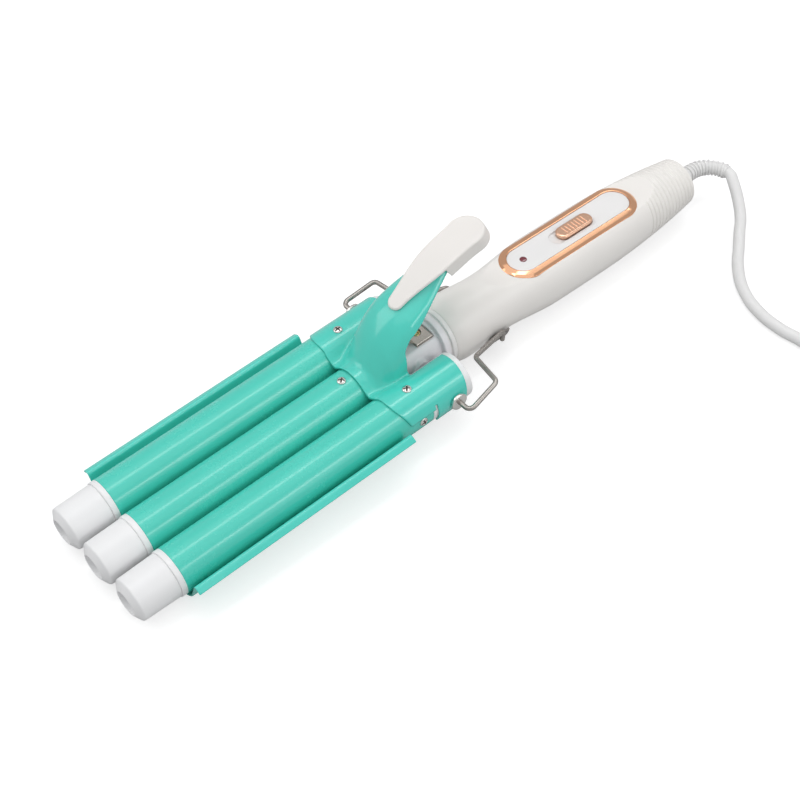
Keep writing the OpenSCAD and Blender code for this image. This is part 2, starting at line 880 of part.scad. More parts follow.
// What the sheet's front edge leaves open: swept back round each outer barrel, and a slit at each side
module sheet_front_cut() {
    swept = sheet_front - sheet_sweep_r;
    both_sides() translate([0, pitch, 0]) {
        linear_extrude(barrel_d) difference() {
            translate([swept, 0]) square(2 * sheet_sweep_r);
            translate([swept, 0]) circle(r = sheet_sweep_r);
        }
        translate([sheet_step, 0, 0]) cube([slit_l, pitch, slit_top]);
    }
}

module clamp_screw_places(side) {
    translate([clamp_screw_x, side * pitch, saddle_out_r]) children();
    translate([side_screw_x, side * pitch, 0]) rotate([side * (side_screw_angle - 90), 0, 0])
        translate([0, 0, barrel_r]) children();
}

module clamp_lever() {
    color("mediumaquamarine") in_device() difference() {
        union() {
            saddle_band();
            lever_form(0);
        }
        extrude_x(-barrel_d, sheet_front + 1) barrel_region(saddle_in_r, crown_in_r, valley_r + sheet_t);
        extrude_x(-barrel_d, sheet_front + 1) translate([0, -barrel_d])
            square([2 * pitch, 2 * barrel_d], center = true);
        lever_form(sheet_t);
        lever_rear_cut();
        in_tongue() both_sides() translate([cover_skirt_s - side_gap, tongue_r + seat_gap, -cover_end_t])
            cube([cover_l, tongue_r, cover_end_t]);
        sheet_front_cut();
        both_sides() rotate([-90, 0, 0]) cylinder(h = 2 * pitch, r = hinge_shank_r + running_fit);
        for (side = [-1, 1]) translate([clamp_screw_x, side * pitch, saddle_out_r])
            screw_hole(screw_shank_l);
    }
}

module thumb_cover() {
    spread = cover_l - cover_low_r - cover_r;
    slot_w = 2 * (tongue_r + press_fit);
    slot_t = sheet_t + 2 * seat_gap;
    color("whitesmoke") in_device() in_tongue() difference() {
        translate([cover_low_r, 0, -cover_end_t]) linear_extrude(cover_end_t)
            drop(cover_low_r, cover_r, spread);
        translate([-cover_l, -cover_l, -cover_l - cover_t])
            cube([cover_l + cover_skirt_s, 2 * cover_l, cover_l]);
        translate([0, -slot_w / 2, -cover_t - slot_t])
            cube([tongue_end_s + tongue_r + press_fit, slot_w, slot_t]);
    }
}

module clamp_screws() {
    color("lightgray") in_device() for (side = [-1, 1]) clamp_screw_places(side) pan_screw();
}

module end_plug(side) {
    edge = 0.8;
    front = barrel_rear + plug_spigot_l;
    color("white") in_device() difference() {
        translate([0, side * pitch, 0]) revolve_x([
            [plug_rear, 0], [plug_rear, barrel_r - edge], [plug_rear + edge, barrel_r],
            [barrel_rear, barrel_r], [barrel_rear, spigot_r], [front, spigot_r], [front, 0]
        ]);
        rotate([-side * 90, 0, 0]) cylinder(h = 2 * pitch, r = hinge_shank_r + running_fit);
        clamp_screw_places(side) screw_hole(screw_shank_l + 0.2);
    }
}

module left_end_plug() {
    end_plug(-1);
}

module right_end_plug() {
    end_plug(1);
}

// Hinge screws: shank from the neck's boss to the ear, pan head drilled for the stand wire
module hinge_screws() {
    head_y = ear_y + side_gap;
    edge = 0.9;
    color("silver") in_device() both_sides() rotate([-90, 0, 0]) rotate_extrude() polygon([
        [0, hinge_root_y], [hinge_shank_r, hinge_root_y], [hinge_shank_r, head_y],
        [hinge_head_r, head_y], [hinge_head_r, head_y + hinge_head_h - edge],
        [hinge_head_r - edge, head_y + hinge_head_h], [wire_d / 2 + running_fit, head_y + hinge_head_h],
        [wire_d / 2 + running_fit, head_y - 2], [0, head_y - 2]
    ]);
}

// Doubled leaf on the neck's flat, its narrower free arm rising under the lever's dome
module lever_spring() {
    base_z = flat_z + leaf_t / 2;
    top_z = base_z + leaf_t + leaf_gap;
    bend_r = (leaf_t + leaf_gap) / 2;
    tip = [leaf_x[1] + leaf_arm_l * cos(leaf_arm_angle), top_z + leaf_arm_l * sin(leaf_arm_angle)];
    color("dimgray") in_device() difference() {
        union() {
            extrude_y(-leaf_w / 2, leaf_w / 2) {
                strip([[leaf_x[0], base_z], [leaf_x[1], base_z]], leaf_t);
                strip([[leaf_x[0], top_z], [leaf_x[1], top_z]], leaf_t);
                translate([leaf_x[0], base_z + bend_r]) difference() {
                    circle(r = bend_r + leaf_t / 2);
                    circle(r = bend_r - leaf_t / 2);
                    translate([0, -2 * bend_r]) square(4 * bend_r);
                }
            }
            extrude_y(-leaf_arm_w / 2, leaf_arm_w / 2)
                strip([[leaf_x[1] - leaf_t, top_z], [leaf_x[1], top_z], tip], leaf_t);
        }
        translate([spring_screw_x, 0, 0]) cylinder(h = 2 * barrel_d, r = screw_hole_r);
        translate([spring_screw_x, 0, base_z + leaf_t / 2]) cylinder(h = barrel_d, r = screw_head_r + side_gap);
    }
}

module spring_screw() {
    color("goldenrod") in_device() translate([spring_screw_x, 0, flat_z + leaf_t]) pan_screw(spring_screw_l);
}

// ---------------------------------------------------------------------------------------------
// Stand

module stand_wires() {
    tail_r = foot_in_r + foot_t + wire_d / 2 + side_gap;
    tail_x = (foot_x[0] + foot_x[1]) / 2;
    axis_z = tail_x * sin(handle_droop);
    head_y = ear_y + side_gap;
    hook = tail_r * [cos(wire_hook_angle), -sin(wire_hook_angle)];
    color("gray") in_device() both_sides() soft_tube(bent_line([
        [0, head_y - wire_seat, 0], [0, ear_y + wire_out, 0],
        [wire_corner[0], ear_y + wire_corner[1], wire_corner[2]], wire_turn,
        [tail_x, tail_r, axis_z + 1], [tail_x, hook[0], axis_z + hook[1]]
    ], wire_bend_r), wire_d, wire_sides);
}

module stand_foot() {
    color("darkslategray") in_handle() extrude_x(foot_x[0], foot_x[1]) difference() {
        circle(r = foot_in_r + foot_t);
        circle(r = foot_in_r);
        translate([-belly_r * 2, -belly_r * sin(foot_end_angle)]) square(belly_r * 4);
    }
}

// ---------------------------------------------------------------------------------------------
// Cord, strain relief and plug

// Flexible sleeve: straight out of the handle, then bent to one side, ringed all along
module strain_relief() {
    bend_x = -handle_reach - relief_straight;
    travel = relief_straight + relief_bend_r * relief_angle * PI / 180 - relief_root_l - relief_rib_t;
    color("ghostwhite") in_handle() {
        rod_x(-handle_reach - relief_root_l, -handle_reach, relief_root_r);
        rod_x(bend_x, -handle_reach - relief_root_l + eps, relief_core_r);
        translate([bend_x, relief_bend_r, 0]) rotate(270 - relief_angle)
            rotate_extrude(angle = relief_angle) translate([relief_bend_r, 0]) circle(r = relief_core_r);
        for (i = [0 : relief_ribs - 1]) {
            part = (i + 0.5) / relief_ribs;
            way = relief_root_l + travel * part;
            turn = max(0, way - relief_straight) / relief_bend_r * 180 / PI;
            rib_r = relief_rib_r[0] + (relief_rib_r[1] - relief_rib_r[0]) * part;
            translate([-handle_reach - min(way, relief_straight), relief_bend_r, 0]) rotate(-turn)
                translate([0, -relief_bend_r, 0]) rotate([0, -90, 0])
                    cylinder(h = relief_rib_t, r = rib_r);
        }
    }
}

module power_cord() {
    color("white") behind_handle() soft_tube(CORD_ROUTE, cord_d, tube_sides);
}

module cord_coil() {
    color("white") behind_handle() translate([coil_centre[0], coil_centre[1], 0]) rotate_extrude()
        translate([coil_in_r, 0]) square([coil_out_r - coil_in_r, coil_h]);
}

module plug_lead() {
    color("white") behind_handle() soft_tube(LEAD_ROUTE, cord_d, tube_sides);
}

module in_plug() {
    behind_handle() translate(plug_at) rotate(plug_yaw) children();
}

module plug_body() {
    corner = plug_face_h / 2;
    color("white") in_plug() {
        extrude_x(-plug_face_l, 0) both_edges() {
            translate([plug_face_w / 2 - corner, 0]) circle(r = corner);
            translate([0, -corner]) square([plug_face_w / 2 - corner, 2 * corner]);
        }
        hull() {
            extrude_x(-plug_face_l - seam, -plug_face_l) both_edges()
                translate([plug_face_w / 2 - corner, 0]) circle(r = corner, $fn = hull_fn);
            rod_x(-plug_face_l - plug_taper_l, -plug_face_l, plug_neck_r);
        }
        revolve_x([
            [-plug_face_l - plug_taper_l - plug_sleeve_l, 0],
            [-plug_face_l - plug_taper_l - plug_sleeve_l, plug_sleeve_r],
            [-plug_face_l - plug_taper_l, plug_neck_r], [-plug_face_l - plug_taper_l, 0]
        ]);
    }
}

module plug_pins() {
    neck_l = pin_l - pin_tip_l;
    color("silver") in_plug() both_sides() translate([0, pin_pitch / 2, 0]) {
        rod_x(0, neck_l, pin_r);
        revolve_x([[neck_l, 0], [neck_l, pin_r], [pin_l, pin_tip_r], [pin_l, 0]]);
    }
}

handle_shell();
handle_collar();
neck();
panel_bezel();
control_panel();
indicator_lens();
switch_button();
power_switch();
circuit_board();
board_components();
indicator_lamp();
mains_leads();
heater_leads();
middle_barrel();
left_barrel();
right_barrel();
middle_tip_cap();
left_tip_cap();
right_tip_cap();
middle_heater();
left_heater();
right_heater();
lower_jaw();
jaw_rivets();
middle_barrel_screw();
clamp_lever();
thumb_cover();
left_end_plug();
right_end_plug();
clamp_screws();
hinge_screws();
lever_spring();
spring_screw();
stand_wires();
stand_foot();
strain_relief();
power_cord();
cord_coil();
plug_lead();
plug_body();
plug_pins();
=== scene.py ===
import logging
import math
from dataclasses import dataclass, field
from enum import Enum
from typing import Callable, Sequence

import bmesh
import bpy
import numpy as np
from mathutils import Matrix, Vector


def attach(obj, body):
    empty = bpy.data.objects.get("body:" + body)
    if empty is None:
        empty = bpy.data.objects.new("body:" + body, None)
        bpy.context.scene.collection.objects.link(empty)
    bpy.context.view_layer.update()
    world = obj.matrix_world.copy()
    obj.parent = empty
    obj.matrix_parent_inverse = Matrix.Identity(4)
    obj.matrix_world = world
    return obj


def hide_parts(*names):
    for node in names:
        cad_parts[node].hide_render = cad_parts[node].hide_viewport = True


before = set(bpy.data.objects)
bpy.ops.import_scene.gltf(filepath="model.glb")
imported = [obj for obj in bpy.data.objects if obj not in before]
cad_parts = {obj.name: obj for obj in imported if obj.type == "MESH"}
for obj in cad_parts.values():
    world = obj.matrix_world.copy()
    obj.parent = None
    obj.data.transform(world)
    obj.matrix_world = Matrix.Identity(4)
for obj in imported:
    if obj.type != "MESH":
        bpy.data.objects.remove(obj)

log = logging.getLogger("hair_waver")

Array = np.ndarray
Pair = tuple[float, float]
Triple = tuple[float, float, float]
Line = Sequence[Sequence[float]]
Mesh = tuple[np.ndarray, list[list[int]]]
Field = Callable[[np.ndarray, np.ndarray, np.ndarray], np.ndarray]

MM = 0.001
TILT = math.radians(1.97588)
DROOP = math.radians(2.4)
HINGE_MM = (5.4848, 0.0, 20.5284)
KNEE_MM = (6.1, 0.0, 38.5)
TONGUE_SLOPE = math.radians(24)
PLUG_MM = (-242.48, 97.0, 6.9)
PLUG_TURN = math.radians(262)
PITCH = 26.7
BARREL_R = 12.5
HANDLE_REAR = 201.5
SEAT_Z = 14.3


# ---------------------------------------------------------------------------------------------
# Working frames


class Space(Enum):
    """The frames that pieces are drawn in, in millimetres."""

    DEVICE = "device"
    HANDLE = "handle"
    TONGUE = "tongue"
    PLUG = "plug"

    def matrix(self) -> Matrix:
        """Gives the matrix from this frame to the row frame.

        Returns:
            A 4x4 matrix that also turns millimetres into metres.
        """
        scale = Matrix.Scale(MM, 4)
        if self is Space.PLUG:
            return scale @ Matrix.Translation(PLUG_MM) @ Matrix.Rotation(PLUG_TURN, 4, "Z")
        device = scale @ Matrix.Translation(HINGE_MM) @ Matrix.Rotation(TILT, 4, "Y")
        if self is Space.HANDLE:
            return device @ Matrix.Rotation(-DROOP, 4, "Y")
        if self is Space.TONGUE:
            lift = Matrix.Translation(KNEE_MM) @ Matrix.Rotation(TONGUE_SLOPE, 4, "Y")
            return device @ lift @ Matrix.Rotation(math.pi, 4, "Z")
        return device

    def place(self, points: Array) -> Array:
        """Moves points from this frame to the row frame, in metres."""
        m = np.array(self.matrix())
        return points @ m[:3, :3].T + m[:3, 3]


# ---------------------------------------------------------------------------------------------
# Finishes


def set_inputs(node: bpy.types.Node, values: dict[str, object]) -> None:
    """Sets a node's own inputs by their names."""
    for name, value in values.items():
        node.inputs[name].default_value = value


class Grain(Enum):
    """Fine surface characters, as (noise scale per metre, noise detail, bump height in metres)."""

    ENAMEL = (420.0, 2.0, 0.0000025)
    MOULDED = (2600.0, 4.0, 0.000008)
    SATIN = (5200.0, 5.0, 0.000010)
    PLATED = (160.0, 1.0, 0.000004)
    DRAWN = (900.0, 6.0, 0.000006)
    RUBBER = (3400.0, 5.0, 0.000012)


@dataclass(frozen=True)
class Finish:
    """A procedural finish: base colour, gloss, and the grain that breaks both up."""

    name: str
    slot: str
    colour: Triple
    roughness: float
    grain: Grain
    mottle: float = 0.04
    metallic: float = 0.0
    coat: float = 0.0
    coat_roughness: float = 0.05
    rough_spread: float = 0.05
    broad: Pair = (38.0, 3.0)
    fine_share: float = 0.4
    noise_range: Pair = (0.3, 0.7)
    least_roughness: float = 0.02

    def build(self) -> bpy.types.Material:
        """Makes the node material, or finds it if it is made already.

        Returns:
            The material.
        """
        name = self.name + "_finish"
        found = bpy.data.materials.get(name)
        if found:
            return found
        mat = bpy.data.materials.new(name)
        mat.use_nodes = True
        tree = mat.node_tree
        shader = tree.nodes["Principled BSDF"]
        set_inputs(shader, {
            "Metallic": self.metallic, "Coat Weight": self.coat, "Coat Roughness": self.coat_roughness})
        scale, detail, height = self.grain.value
        where = tree.nodes.new("ShaderNodeTexCoord")
        noises = []
        for cells, octaves in ((scale, detail), self.broad):
            noise = tree.nodes.new("ShaderNodeTexNoise")
            set_inputs(noise, {"Scale": cells, "Detail": octaves})
            tree.links.new(where.outputs["Object"], noise.inputs["Vector"])
            noises.append(noise.outputs["Fac"])
        fine, broad = noises
        self._tint(tree, broad, shader)
        self._gloss(tree, broad, fine, shader)
        bump = tree.nodes.new("ShaderNodeBump")
        set_inputs(bump, {"Distance": height, "Strength": 1.0})
        tree.links.new(fine, bump.inputs["Height"])
        tree.links.new(bump.outputs["Normal"], shader.inputs["Normal"])
        return mat

    def _tint(self, tree: bpy.types.NodeTree, broad: bpy.types.NodeSocket, shader: bpy.types.Node) -> None:
        """Varies the base colour a little over the piece.

        Args:
            tree: The material's node tree.
            broad: The noise that says where it varies.
            shader: The shader that takes the colour.
        """
        ramp = tree.nodes.new("ShaderNodeValToRGB")
        for element, at, sign in zip(ramp.color_ramp.elements, self.noise_range, (-1, 1)):
            element.position = at
            element.color = (*[min(1, c * (1 + sign * self.mottle)) for c in self.colour], 1)
        tree.links.new(broad, ramp.inputs["Fac"])
        tree.links.new(ramp.outputs["Color"], shader.inputs["Base Color"])

    def _gloss(
        self, tree: bpy.types.NodeTree, broad: bpy.types.NodeSocket, fine: bpy.types.NodeSocket,
        shader: bpy.types.Node,
    ) -> None:
        """Varies the roughness over the piece and in the grain.

        Args:
            tree: The material's node tree.
            broad: The slow noise.
            fine: The grain's noise.
            shader: The shader that takes the roughness.
        """
        mix = tree.nodes.new("ShaderNodeMix")
        set_inputs(mix, {"Factor": self.fine_share})
        tree.links.new(broad, mix.inputs["A"])
        tree.links.new(fine, mix.inputs["B"])
        spread = tree.nodes.new("ShaderNodeMapRange")
        set_inputs(spread, {
            "From Min": self.noise_range[0], "From Max": self.noise_range[1],
            "To Min": max(self.least_roughness, self.roughness - self.rough_spread),
            "To Max": self.roughness + self.rough_spread})
        tree.links.new(mix.outputs["Result"], spread.inputs["Value"])
        tree.links.new(spread.outputs["Result"], shader.inputs["Roughness"])


MINT = Finish("mint_enamel", "mint_enamel", (0.062, 0.60, 0.49), 0.26, Grain.ENAMEL, 0.02, coat=0.5,
              coat_roughness=0.07)
MINT_SHEET = Finish("mint_sheet", "mint_enamel", (0.066, 0.62, 0.52), 0.2, Grain.ENAMEL, 0.02, coat=0.6)
HANDLE_WHITE = Finish("handle_white", "handle_plastic", (0.82, 0.795, 0.765), 0.34, Grain.MOULDED, 0.012)
COLLAR_WHITE = Finish("collar_white", "collar_plastic", (0.80, 0.79, 0.78), 0.30, Grain.MOULDED, 0.01)
NECK_GREY = Finish("neck_grey", "neck_plastic", (0.80, 0.785, 0.81), 0.32, Grain.MOULDED, 0.015)
PANEL_WHITE = Finish("panel_white", "panel_plastic", (0.80, 0.79, 0.785), 0.16, Grain.ENAMEL, 0.008, coat=0.5)
COPPER = Finish("copper_plate", "copper_plate", (0.86, 0.47, 0.28), 0.11, Grain.PLATED, 0.03, 1.0,
                rough_spread=0.03)
BUTTON_COPPER = Finish("button_copper", "copper_plate", (0.86, 0.54, 0.38), 0.26, Grain.SATIN, 0.03, 1.0)
LENS_RED = Finish("lens_red", "red_lens", (0.16, 0.008, 0.02), 0.12, Grain.ENAMEL, 0.1, coat=1.0)
CAP_WHITE = Finish("cap_white", "cap_plastic", (0.84, 0.84, 0.845), 0.36, Grain.MOULDED, 0.012)
COVER_WHITE = Finish("cover_white", "cap_plastic", (0.80, 0.77, 0.74), 0.38, Grain.MOULDED, 0.012)
STEEL = Finish("plated_steel", "plated_steel", (0.74, 0.72, 0.69), 0.12, Grain.PLATED, 0.08, 1.0)
WIRE_STEEL = Finish("wire_steel", "spring_steel", (0.40, 0.375, 0.35), 0.28, Grain.DRAWN, 0.12, 1.0,
                    rough_spread=0.1)
SPRING_STEEL = Finish("spring_steel", "spring_steel", (0.56, 0.52, 0.47), 0.3, Grain.DRAWN, 0.14, 1.0)
BRASS = Finish("brass", "brass_screw", (0.72, 0.56, 0.28), 0.25, Grain.PLATED, 0.08, 1.0)
# Painted shade: a near-black colour for the thin cross laid on each screw slot's floor, so the recess reads
# dark.
SLOT_PAINTED_SHADE = Finish("slot_painted_shade", "dark_enamel", (0.07, 0.05, 0.045), 0.5, Grain.SATIN, 0.1)
FOOT_DARK = Finish("foot_dark", "dark_enamel", (0.16, 0.145, 0.135), 0.35, Grain.SATIN, 0.1)
CORD_WHITE = Finish("cord_white", "cord_rubber", (0.76, 0.755, 0.75), 0.40, Grain.RUBBER, 0.012)
PLUG_WHITE = Finish("plug_white", "plug_plastic", (0.79, 0.785, 0.775), 0.34, Grain.MOULDED, 0.012)
PIN_NICKEL = Finish("pin_nickel", "pin_metal", (0.72, 0.71, 0.68), 0.2, Grain.PLATED, 0.06, 1.0)
SHOE_METAL = Finish("shoe_metal", "heater_metal", (0.68, 0.68, 0.69), 0.35, Grain.DRAWN, 0.06, 1.0)
BLACK = Finish("black_plastic", "black_plastic", (0.03, 0.03, 0.032), 0.45, Grain.MOULDED, 0.1)
LAMINATE = Finish("board_laminate", "board_laminate", (0.04, 0.22, 0.09), 0.35, Grain.SATIN, 0.12)
LEAD = Finish("lead_rubber", "lead_rubber", (0.30, 0.12, 0.05), 0.5, Grain.RUBBER, 0.06)


# ---------------------------------------------------------------------------------------------
# Mesh making


def new_object(name: str, data: bpy.types.ID) -> bpy.types.Object:
    """Makes an object and links it to the scene.

    Args:
        name: The object's name.
        data: Its mesh, curve, lamp or camera.

    Returns:
        The object.
    """
    obj = bpy.data.objects.new(name, data)
    bpy.context.scene.collection.objects.link(obj)
    return obj


def register(obj: bpy.types.Object, finish: Finish, body: str, *replaced: str) -> None:
    """Gives a piece its body and the nodes it stands for, and reports it.

    Args:
        obj: The finished piece.
        finish: What it is made of.
        body: The CAD body it rides on.
        *replaced: CAD nodes that it stands for.
    """
    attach(obj, body)
    if replaced:
        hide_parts(*replaced)
    log.info("%s on %s: %s", obj.name, body, finish.name)


def new_piece(
    name: str, mesh: Mesh, space: Space, finish: Finish, body: str, *replaced: str, mend: bool = True,
    crease: float = 0.0,
) -> None:
    """Makes a smooth-shaded piece at the origin and hands it to its body.

    Args:
        name: The piece's name.
        mesh: Vertices in millimetres, and faces.
        space: The frame that the vertices are in.
        finish: What the surface is made of.
        body: The CAD body it rides on.
        *replaced: CAD nodes that it stands for.
        mend: Whether doubles are merged and faces turned outwards afresh.
        crease: The least angle in degrees that shades as an edge, or 0 for none.
    """
    data = bpy.data.meshes.new(name)
    data.from_pydata(space.place(mesh[0]).tolist(), [], [[int(i) for i in face] for face in mesh[1]])
    if mend:
        bm = bmesh.new()
        bm.from_mesh(data)
        bmesh.ops.remove_doubles(bm, verts=bm.verts, dist=1e-7)
        bmesh.ops.recalc_face_normals(bm, faces=bm.faces)
        bm.to_mesh(data)
        bm.free()
    data.update()
    data.shade_smooth()
    data.materials.append(finish.build())
    obj = new_object(name, data)
    register(obj, finish, body, *replaced)
    if crease:
        obj.data.set_sharp_from_angle(angle=math.radians(crease))


def around(count: int) -> Array:
    """Gives even angles once round a circle."""
    return 2 * math.pi * np.arange(count) / count


def joined(parts: Sequence[Mesh]) -> Mesh:
    """Puts several meshes into one.

    Args:
        parts: The meshes.

    Returns:
        Vertices and faces.
    """
    verts, faces, start = [], [], 0
    for v, f in parts:
        verts.append(v)
        faces += [[i + start for i in face] for face in f]
        start += len(v)
    return np.vstack(verts), faces


def grid_mesh(rings: Sequence[Line], closed_ends: bool = True) -> Mesh:
    """Joins rings of equal count into a tube.

    Args:
        rings: The rings, each a row of points.
        closed_ends: Whether the first and last rings get a face.

    Returns:
        Vertices and faces.
    """
    grid = np.array(rings, float)
    n, m = grid.shape[:2]
    faces = [
        [i * m + k, i * m + (k + 1) % m, (i + 1) * m + (k + 1) % m, (i + 1) * m + k]
        for i in range(n - 1) for k in range(m)
    ]
    if closed_ends:
        faces += [list(range(m - 1, -1, -1)), [(n - 1) * m + k for k in range(m)]]
    return grid.reshape(-1, 3), faces


def eased(points: Line, radii: float | Sequence[float], steps: int = 5) -> list[Pair]:
    """Rounds the inner corners of a flat line.

    Args:
        points: The line's corners.
        radii: One radius for all, or one for each corner.
        steps: Points on each rounded corner.

    Returns:
        The points of the rounded line.
    """
    least_reach, nearly_straight = 1e-4, 1.55
    p = [np.array(q, float) for q in points]
    out = [tuple(p[0])]
    for i in range(1, len(p) - 1):
        r = radii if isinstance(radii, (int, float)) else radii[i]
        a, b = p[i - 1] - p[i], p[i + 1] - p[i]
        la, lb = np.linalg.norm(a), np.linalg.norm(b)
        a, b = a / la, b / lb
        half = math.acos(max(-1.0, min(1.0, float(a @ b)))) / 2
        reach = min(r / max(math.tan(half), 1e-6), 0.49 * la, 0.49 * lb)
        if reach < least_reach or half > nearly_straight:
            out.append(tuple(p[i]))
            continue
        start, end = p[i] + a * reach, p[i] + b * reach
        for k in range(steps + 1):
            t = k / steps
            out.append(tuple((1 - t) ** 2 * start + 2 * t * (1 - t) * p[i] + t**2 * end))
    return out + [tuple(p[-1])]


def lathe(profile: Line, sides: int = 96, axis: str = "X", centre: Sequence[float] = (0, 0, 0)) -> Mesh:
    """Turns a profile of (station, radius) points about an axis. A radius of 0 closes a pole.

    Args:
        profile: Points from one end to the other, outwards on the way.
        sides: Points round the axis.
        axis: The axis's letter.
        centre: A point on the axis.

    Returns:
        Vertices and faces, facing outwards where the stations rise.
    """
    order = {"X": (0, 1, 2), "Y": (1, 2, 0), "Z": (2, 0, 1)}[axis]
    verts, rows = [], []
    for station, r in profile:
        turns = around(sides) if r > 1e-6 else around(1)
        rows.append(range(len(verts), len(verts) + len(turns)))
        for a in turns:
            v = list(centre)
            for j, reach in zip(order, (station, r * math.cos(a), r * math.sin(a))):
                v[j] += reach
            verts.append(v)
    faces = []
    for a, b in zip(rows, rows[1:]):
        for k in range(sides):
            n = (k + 1) % sides
            if len(a) == 1 and len(b) > 1:
                faces.append([a[0], b[n], b[k]])
            elif len(b) == 1 and len(a) > 1:
                faces.append([a[k], a[n], b[0]])
            elif len(a) > 1:
                faces.append([a[k], a[n], b[n], b[k]])
    return np.array(verts), faces


def stadium_ring(front: float, rear: float, reach: float, z: float, arc: int = 40, run: int = 10) -> Array:
    """One level ring at an even distance from a line along the handle.

    Args:
        front: Distance of the line's front end behind the hinge.
        rear: Distance of its rear end.
        reach: The ring's distance from the line.
        z: The ring's height.
        arc: Steps on each round end.
        run: Steps on each straight side.

    Returns:
        Points by 3.
    """
    points = []
    for here, there, start in ((-front, -rear, -math.pi / 2), (-rear, -front, math.pi / 2)):
        for i in range(arc + 1):
            a = start + math.pi * i / arc
            points.append((here + reach * math.cos(a), reach * math.sin(a), z))
        for i in range(1, run):
            points.append((here + (there - here) * i / run, -math.copysign(reach, start), z))
    return np.array(points)


# ---------------------------------------------------------------------------------------------
# Distance fields, negative inside


def settle(shape: Field, verts: Array, cell: float, rounds: int = 3) -> Array:
    """Moves points along a field's slope until they lie on its zero surface.

    Args:
        shape: The field, over arrays of X, Y and Z.
        verts: The points.
        cell: Size of the grid's cells, which bounds each move.
        rounds: How many times they move.

    Returns:
        The moved points.
    """
    h, least_slope = 0.05 * cell, 0.05
    for _ in range(rounds):
        x, y, z = verts.T
        slope = np.stack([
            shape(x + h, y, z) - shape(x - h, y, z), shape(x, y + h, z) - shape(x, y - h, z),
            shape(x, y, z + h) - shape(x, y, z - h),
        ], axis=1) / (2 * h)
        steep = np.maximum((slope * slope).sum(1, keepdims=True), least_slope)
        move = shape(x, y, z)[:, None] * slope / steep
        verts = verts - np.clip(move, -0.5 * cell, 0.5 * cell)
    return verts


def surface_net(
    shape: Field, low: Sequence[float], high: Sequence[float], cell: float, slab: int = 24
) -> Mesh:
    """Meshes the zero surface of a distance field.

    Args:
        shape: The field, over arrays of X, Y and Z.
        low: Lowest corner of the box that holds it.
        high: Highest corner of that box.
        cell: Size of the grid's cells.
        slab: Layers of the grid that are worked out at a time.

    Returns:
        Vertices and outward quads.
    """
    axes = [np.arange(low[i], high[i] + cell, cell) for i in range(3)]
    unit = np.eye(3, dtype=int)
    size = [len(a) for a in axes]
    values = np.empty(size, np.float32)
    for i in range(0, size[0], slab):
        values[i:i + slab] = shape(*np.meshgrid(axes[0][i:i + slab], axes[1], axes[2], indexing="ij"))
    inside = values < 0
    corner_sum = np.zeros([n - 1 for n in size], np.uint8)
    for corner in np.ndindex(2, 2, 2):
        corner_sum += inside[tuple(slice(d, n - 1 + d) for d, n in zip(corner, size))]
    mixed = (corner_sum > 0) & (corner_sum < 8)
    cells = np.argwhere(mixed)
    ids = np.full(mixed.shape, -1, np.int64)
    ids[mixed] = np.arange(len(cells))
    total, count = np.zeros((len(cells), 3)), np.zeros((len(cells), 1))
    for axis in range(3):
        for side in np.ndindex(2, 2):
            a = cells + np.insert(side, axis, 0)
            va, vb = values[tuple(a.T)], values[tuple((a + unit[axis]).T)]
            cross = (va < 0) != (vb < 0)
            t = np.where(cross, va / np.where(cross, va - vb, 1), 0)[:, None]
            total += np.where(cross[:, None], a + unit[axis] * t, 0)
            count += cross[:, None]
    verts = settle(shape, total / count * cell + np.array([a[0] for a in axes]), cell)
    quads = []
    for axis in range(3):
        lead = [slice(1, n - 1) for n in size]
        ahead = list(lead)
        lead[axis], ahead[axis] = slice(0, size[axis] - 1), slice(1, size[axis])
        first, second = inside[tuple(lead)], inside[tuple(ahead)]
        where = np.argwhere(first != second)
        base = where + 1 - unit[axis]
        u, v = unit[(axis + 1) % 3], unit[(axis + 2) % 3]
        corners = ((1, 1), (0, 1), (0, 0), (1, 0))
        quad = np.stack([ids[tuple((base - du * u - dv * v).T)] for du, dv in corners], axis=1)
        inward = ~first[tuple(where.T)]
        quad[inward] = quad[inward][:, ::-1]
        quads.append(quad)
    return verts, np.vstack(quads).tolist()


def blend_min(a: Array, b: Array, k: float) -> Array:
    """Smooth union of two fields, with fillets about as wide as k."""
    h = np.clip(0.5 + 0.5 * (b - a) / k, 0, 1)
    return b * (1 - h) + a * h - k * h * (1 - h)


def blend_max(a: Array, b: Array, k: float) -> Array:
    """Smooth overlap of two fields, with edges rounded over about k."""
    return -blend_min(-a, -b, k)


def all_of(*fields: Array) -> Array:
    """Sharp overlap of any number of fields."""
    return np.maximum.reduce(np.broadcast_arrays(*fields))


def box_field(x: Array, y: Array, z: Array, low: Sequence[float], high: Sequence[float]) -> Array:
    """Field of an upright box between two corners."""
    return all_of(*[np.maximum(low[i] - q, q - high[i]) for i, q in enumerate((x, y, z))])


# ---------------------------------------------------------------------------------------------
# Geometry Nodes trees


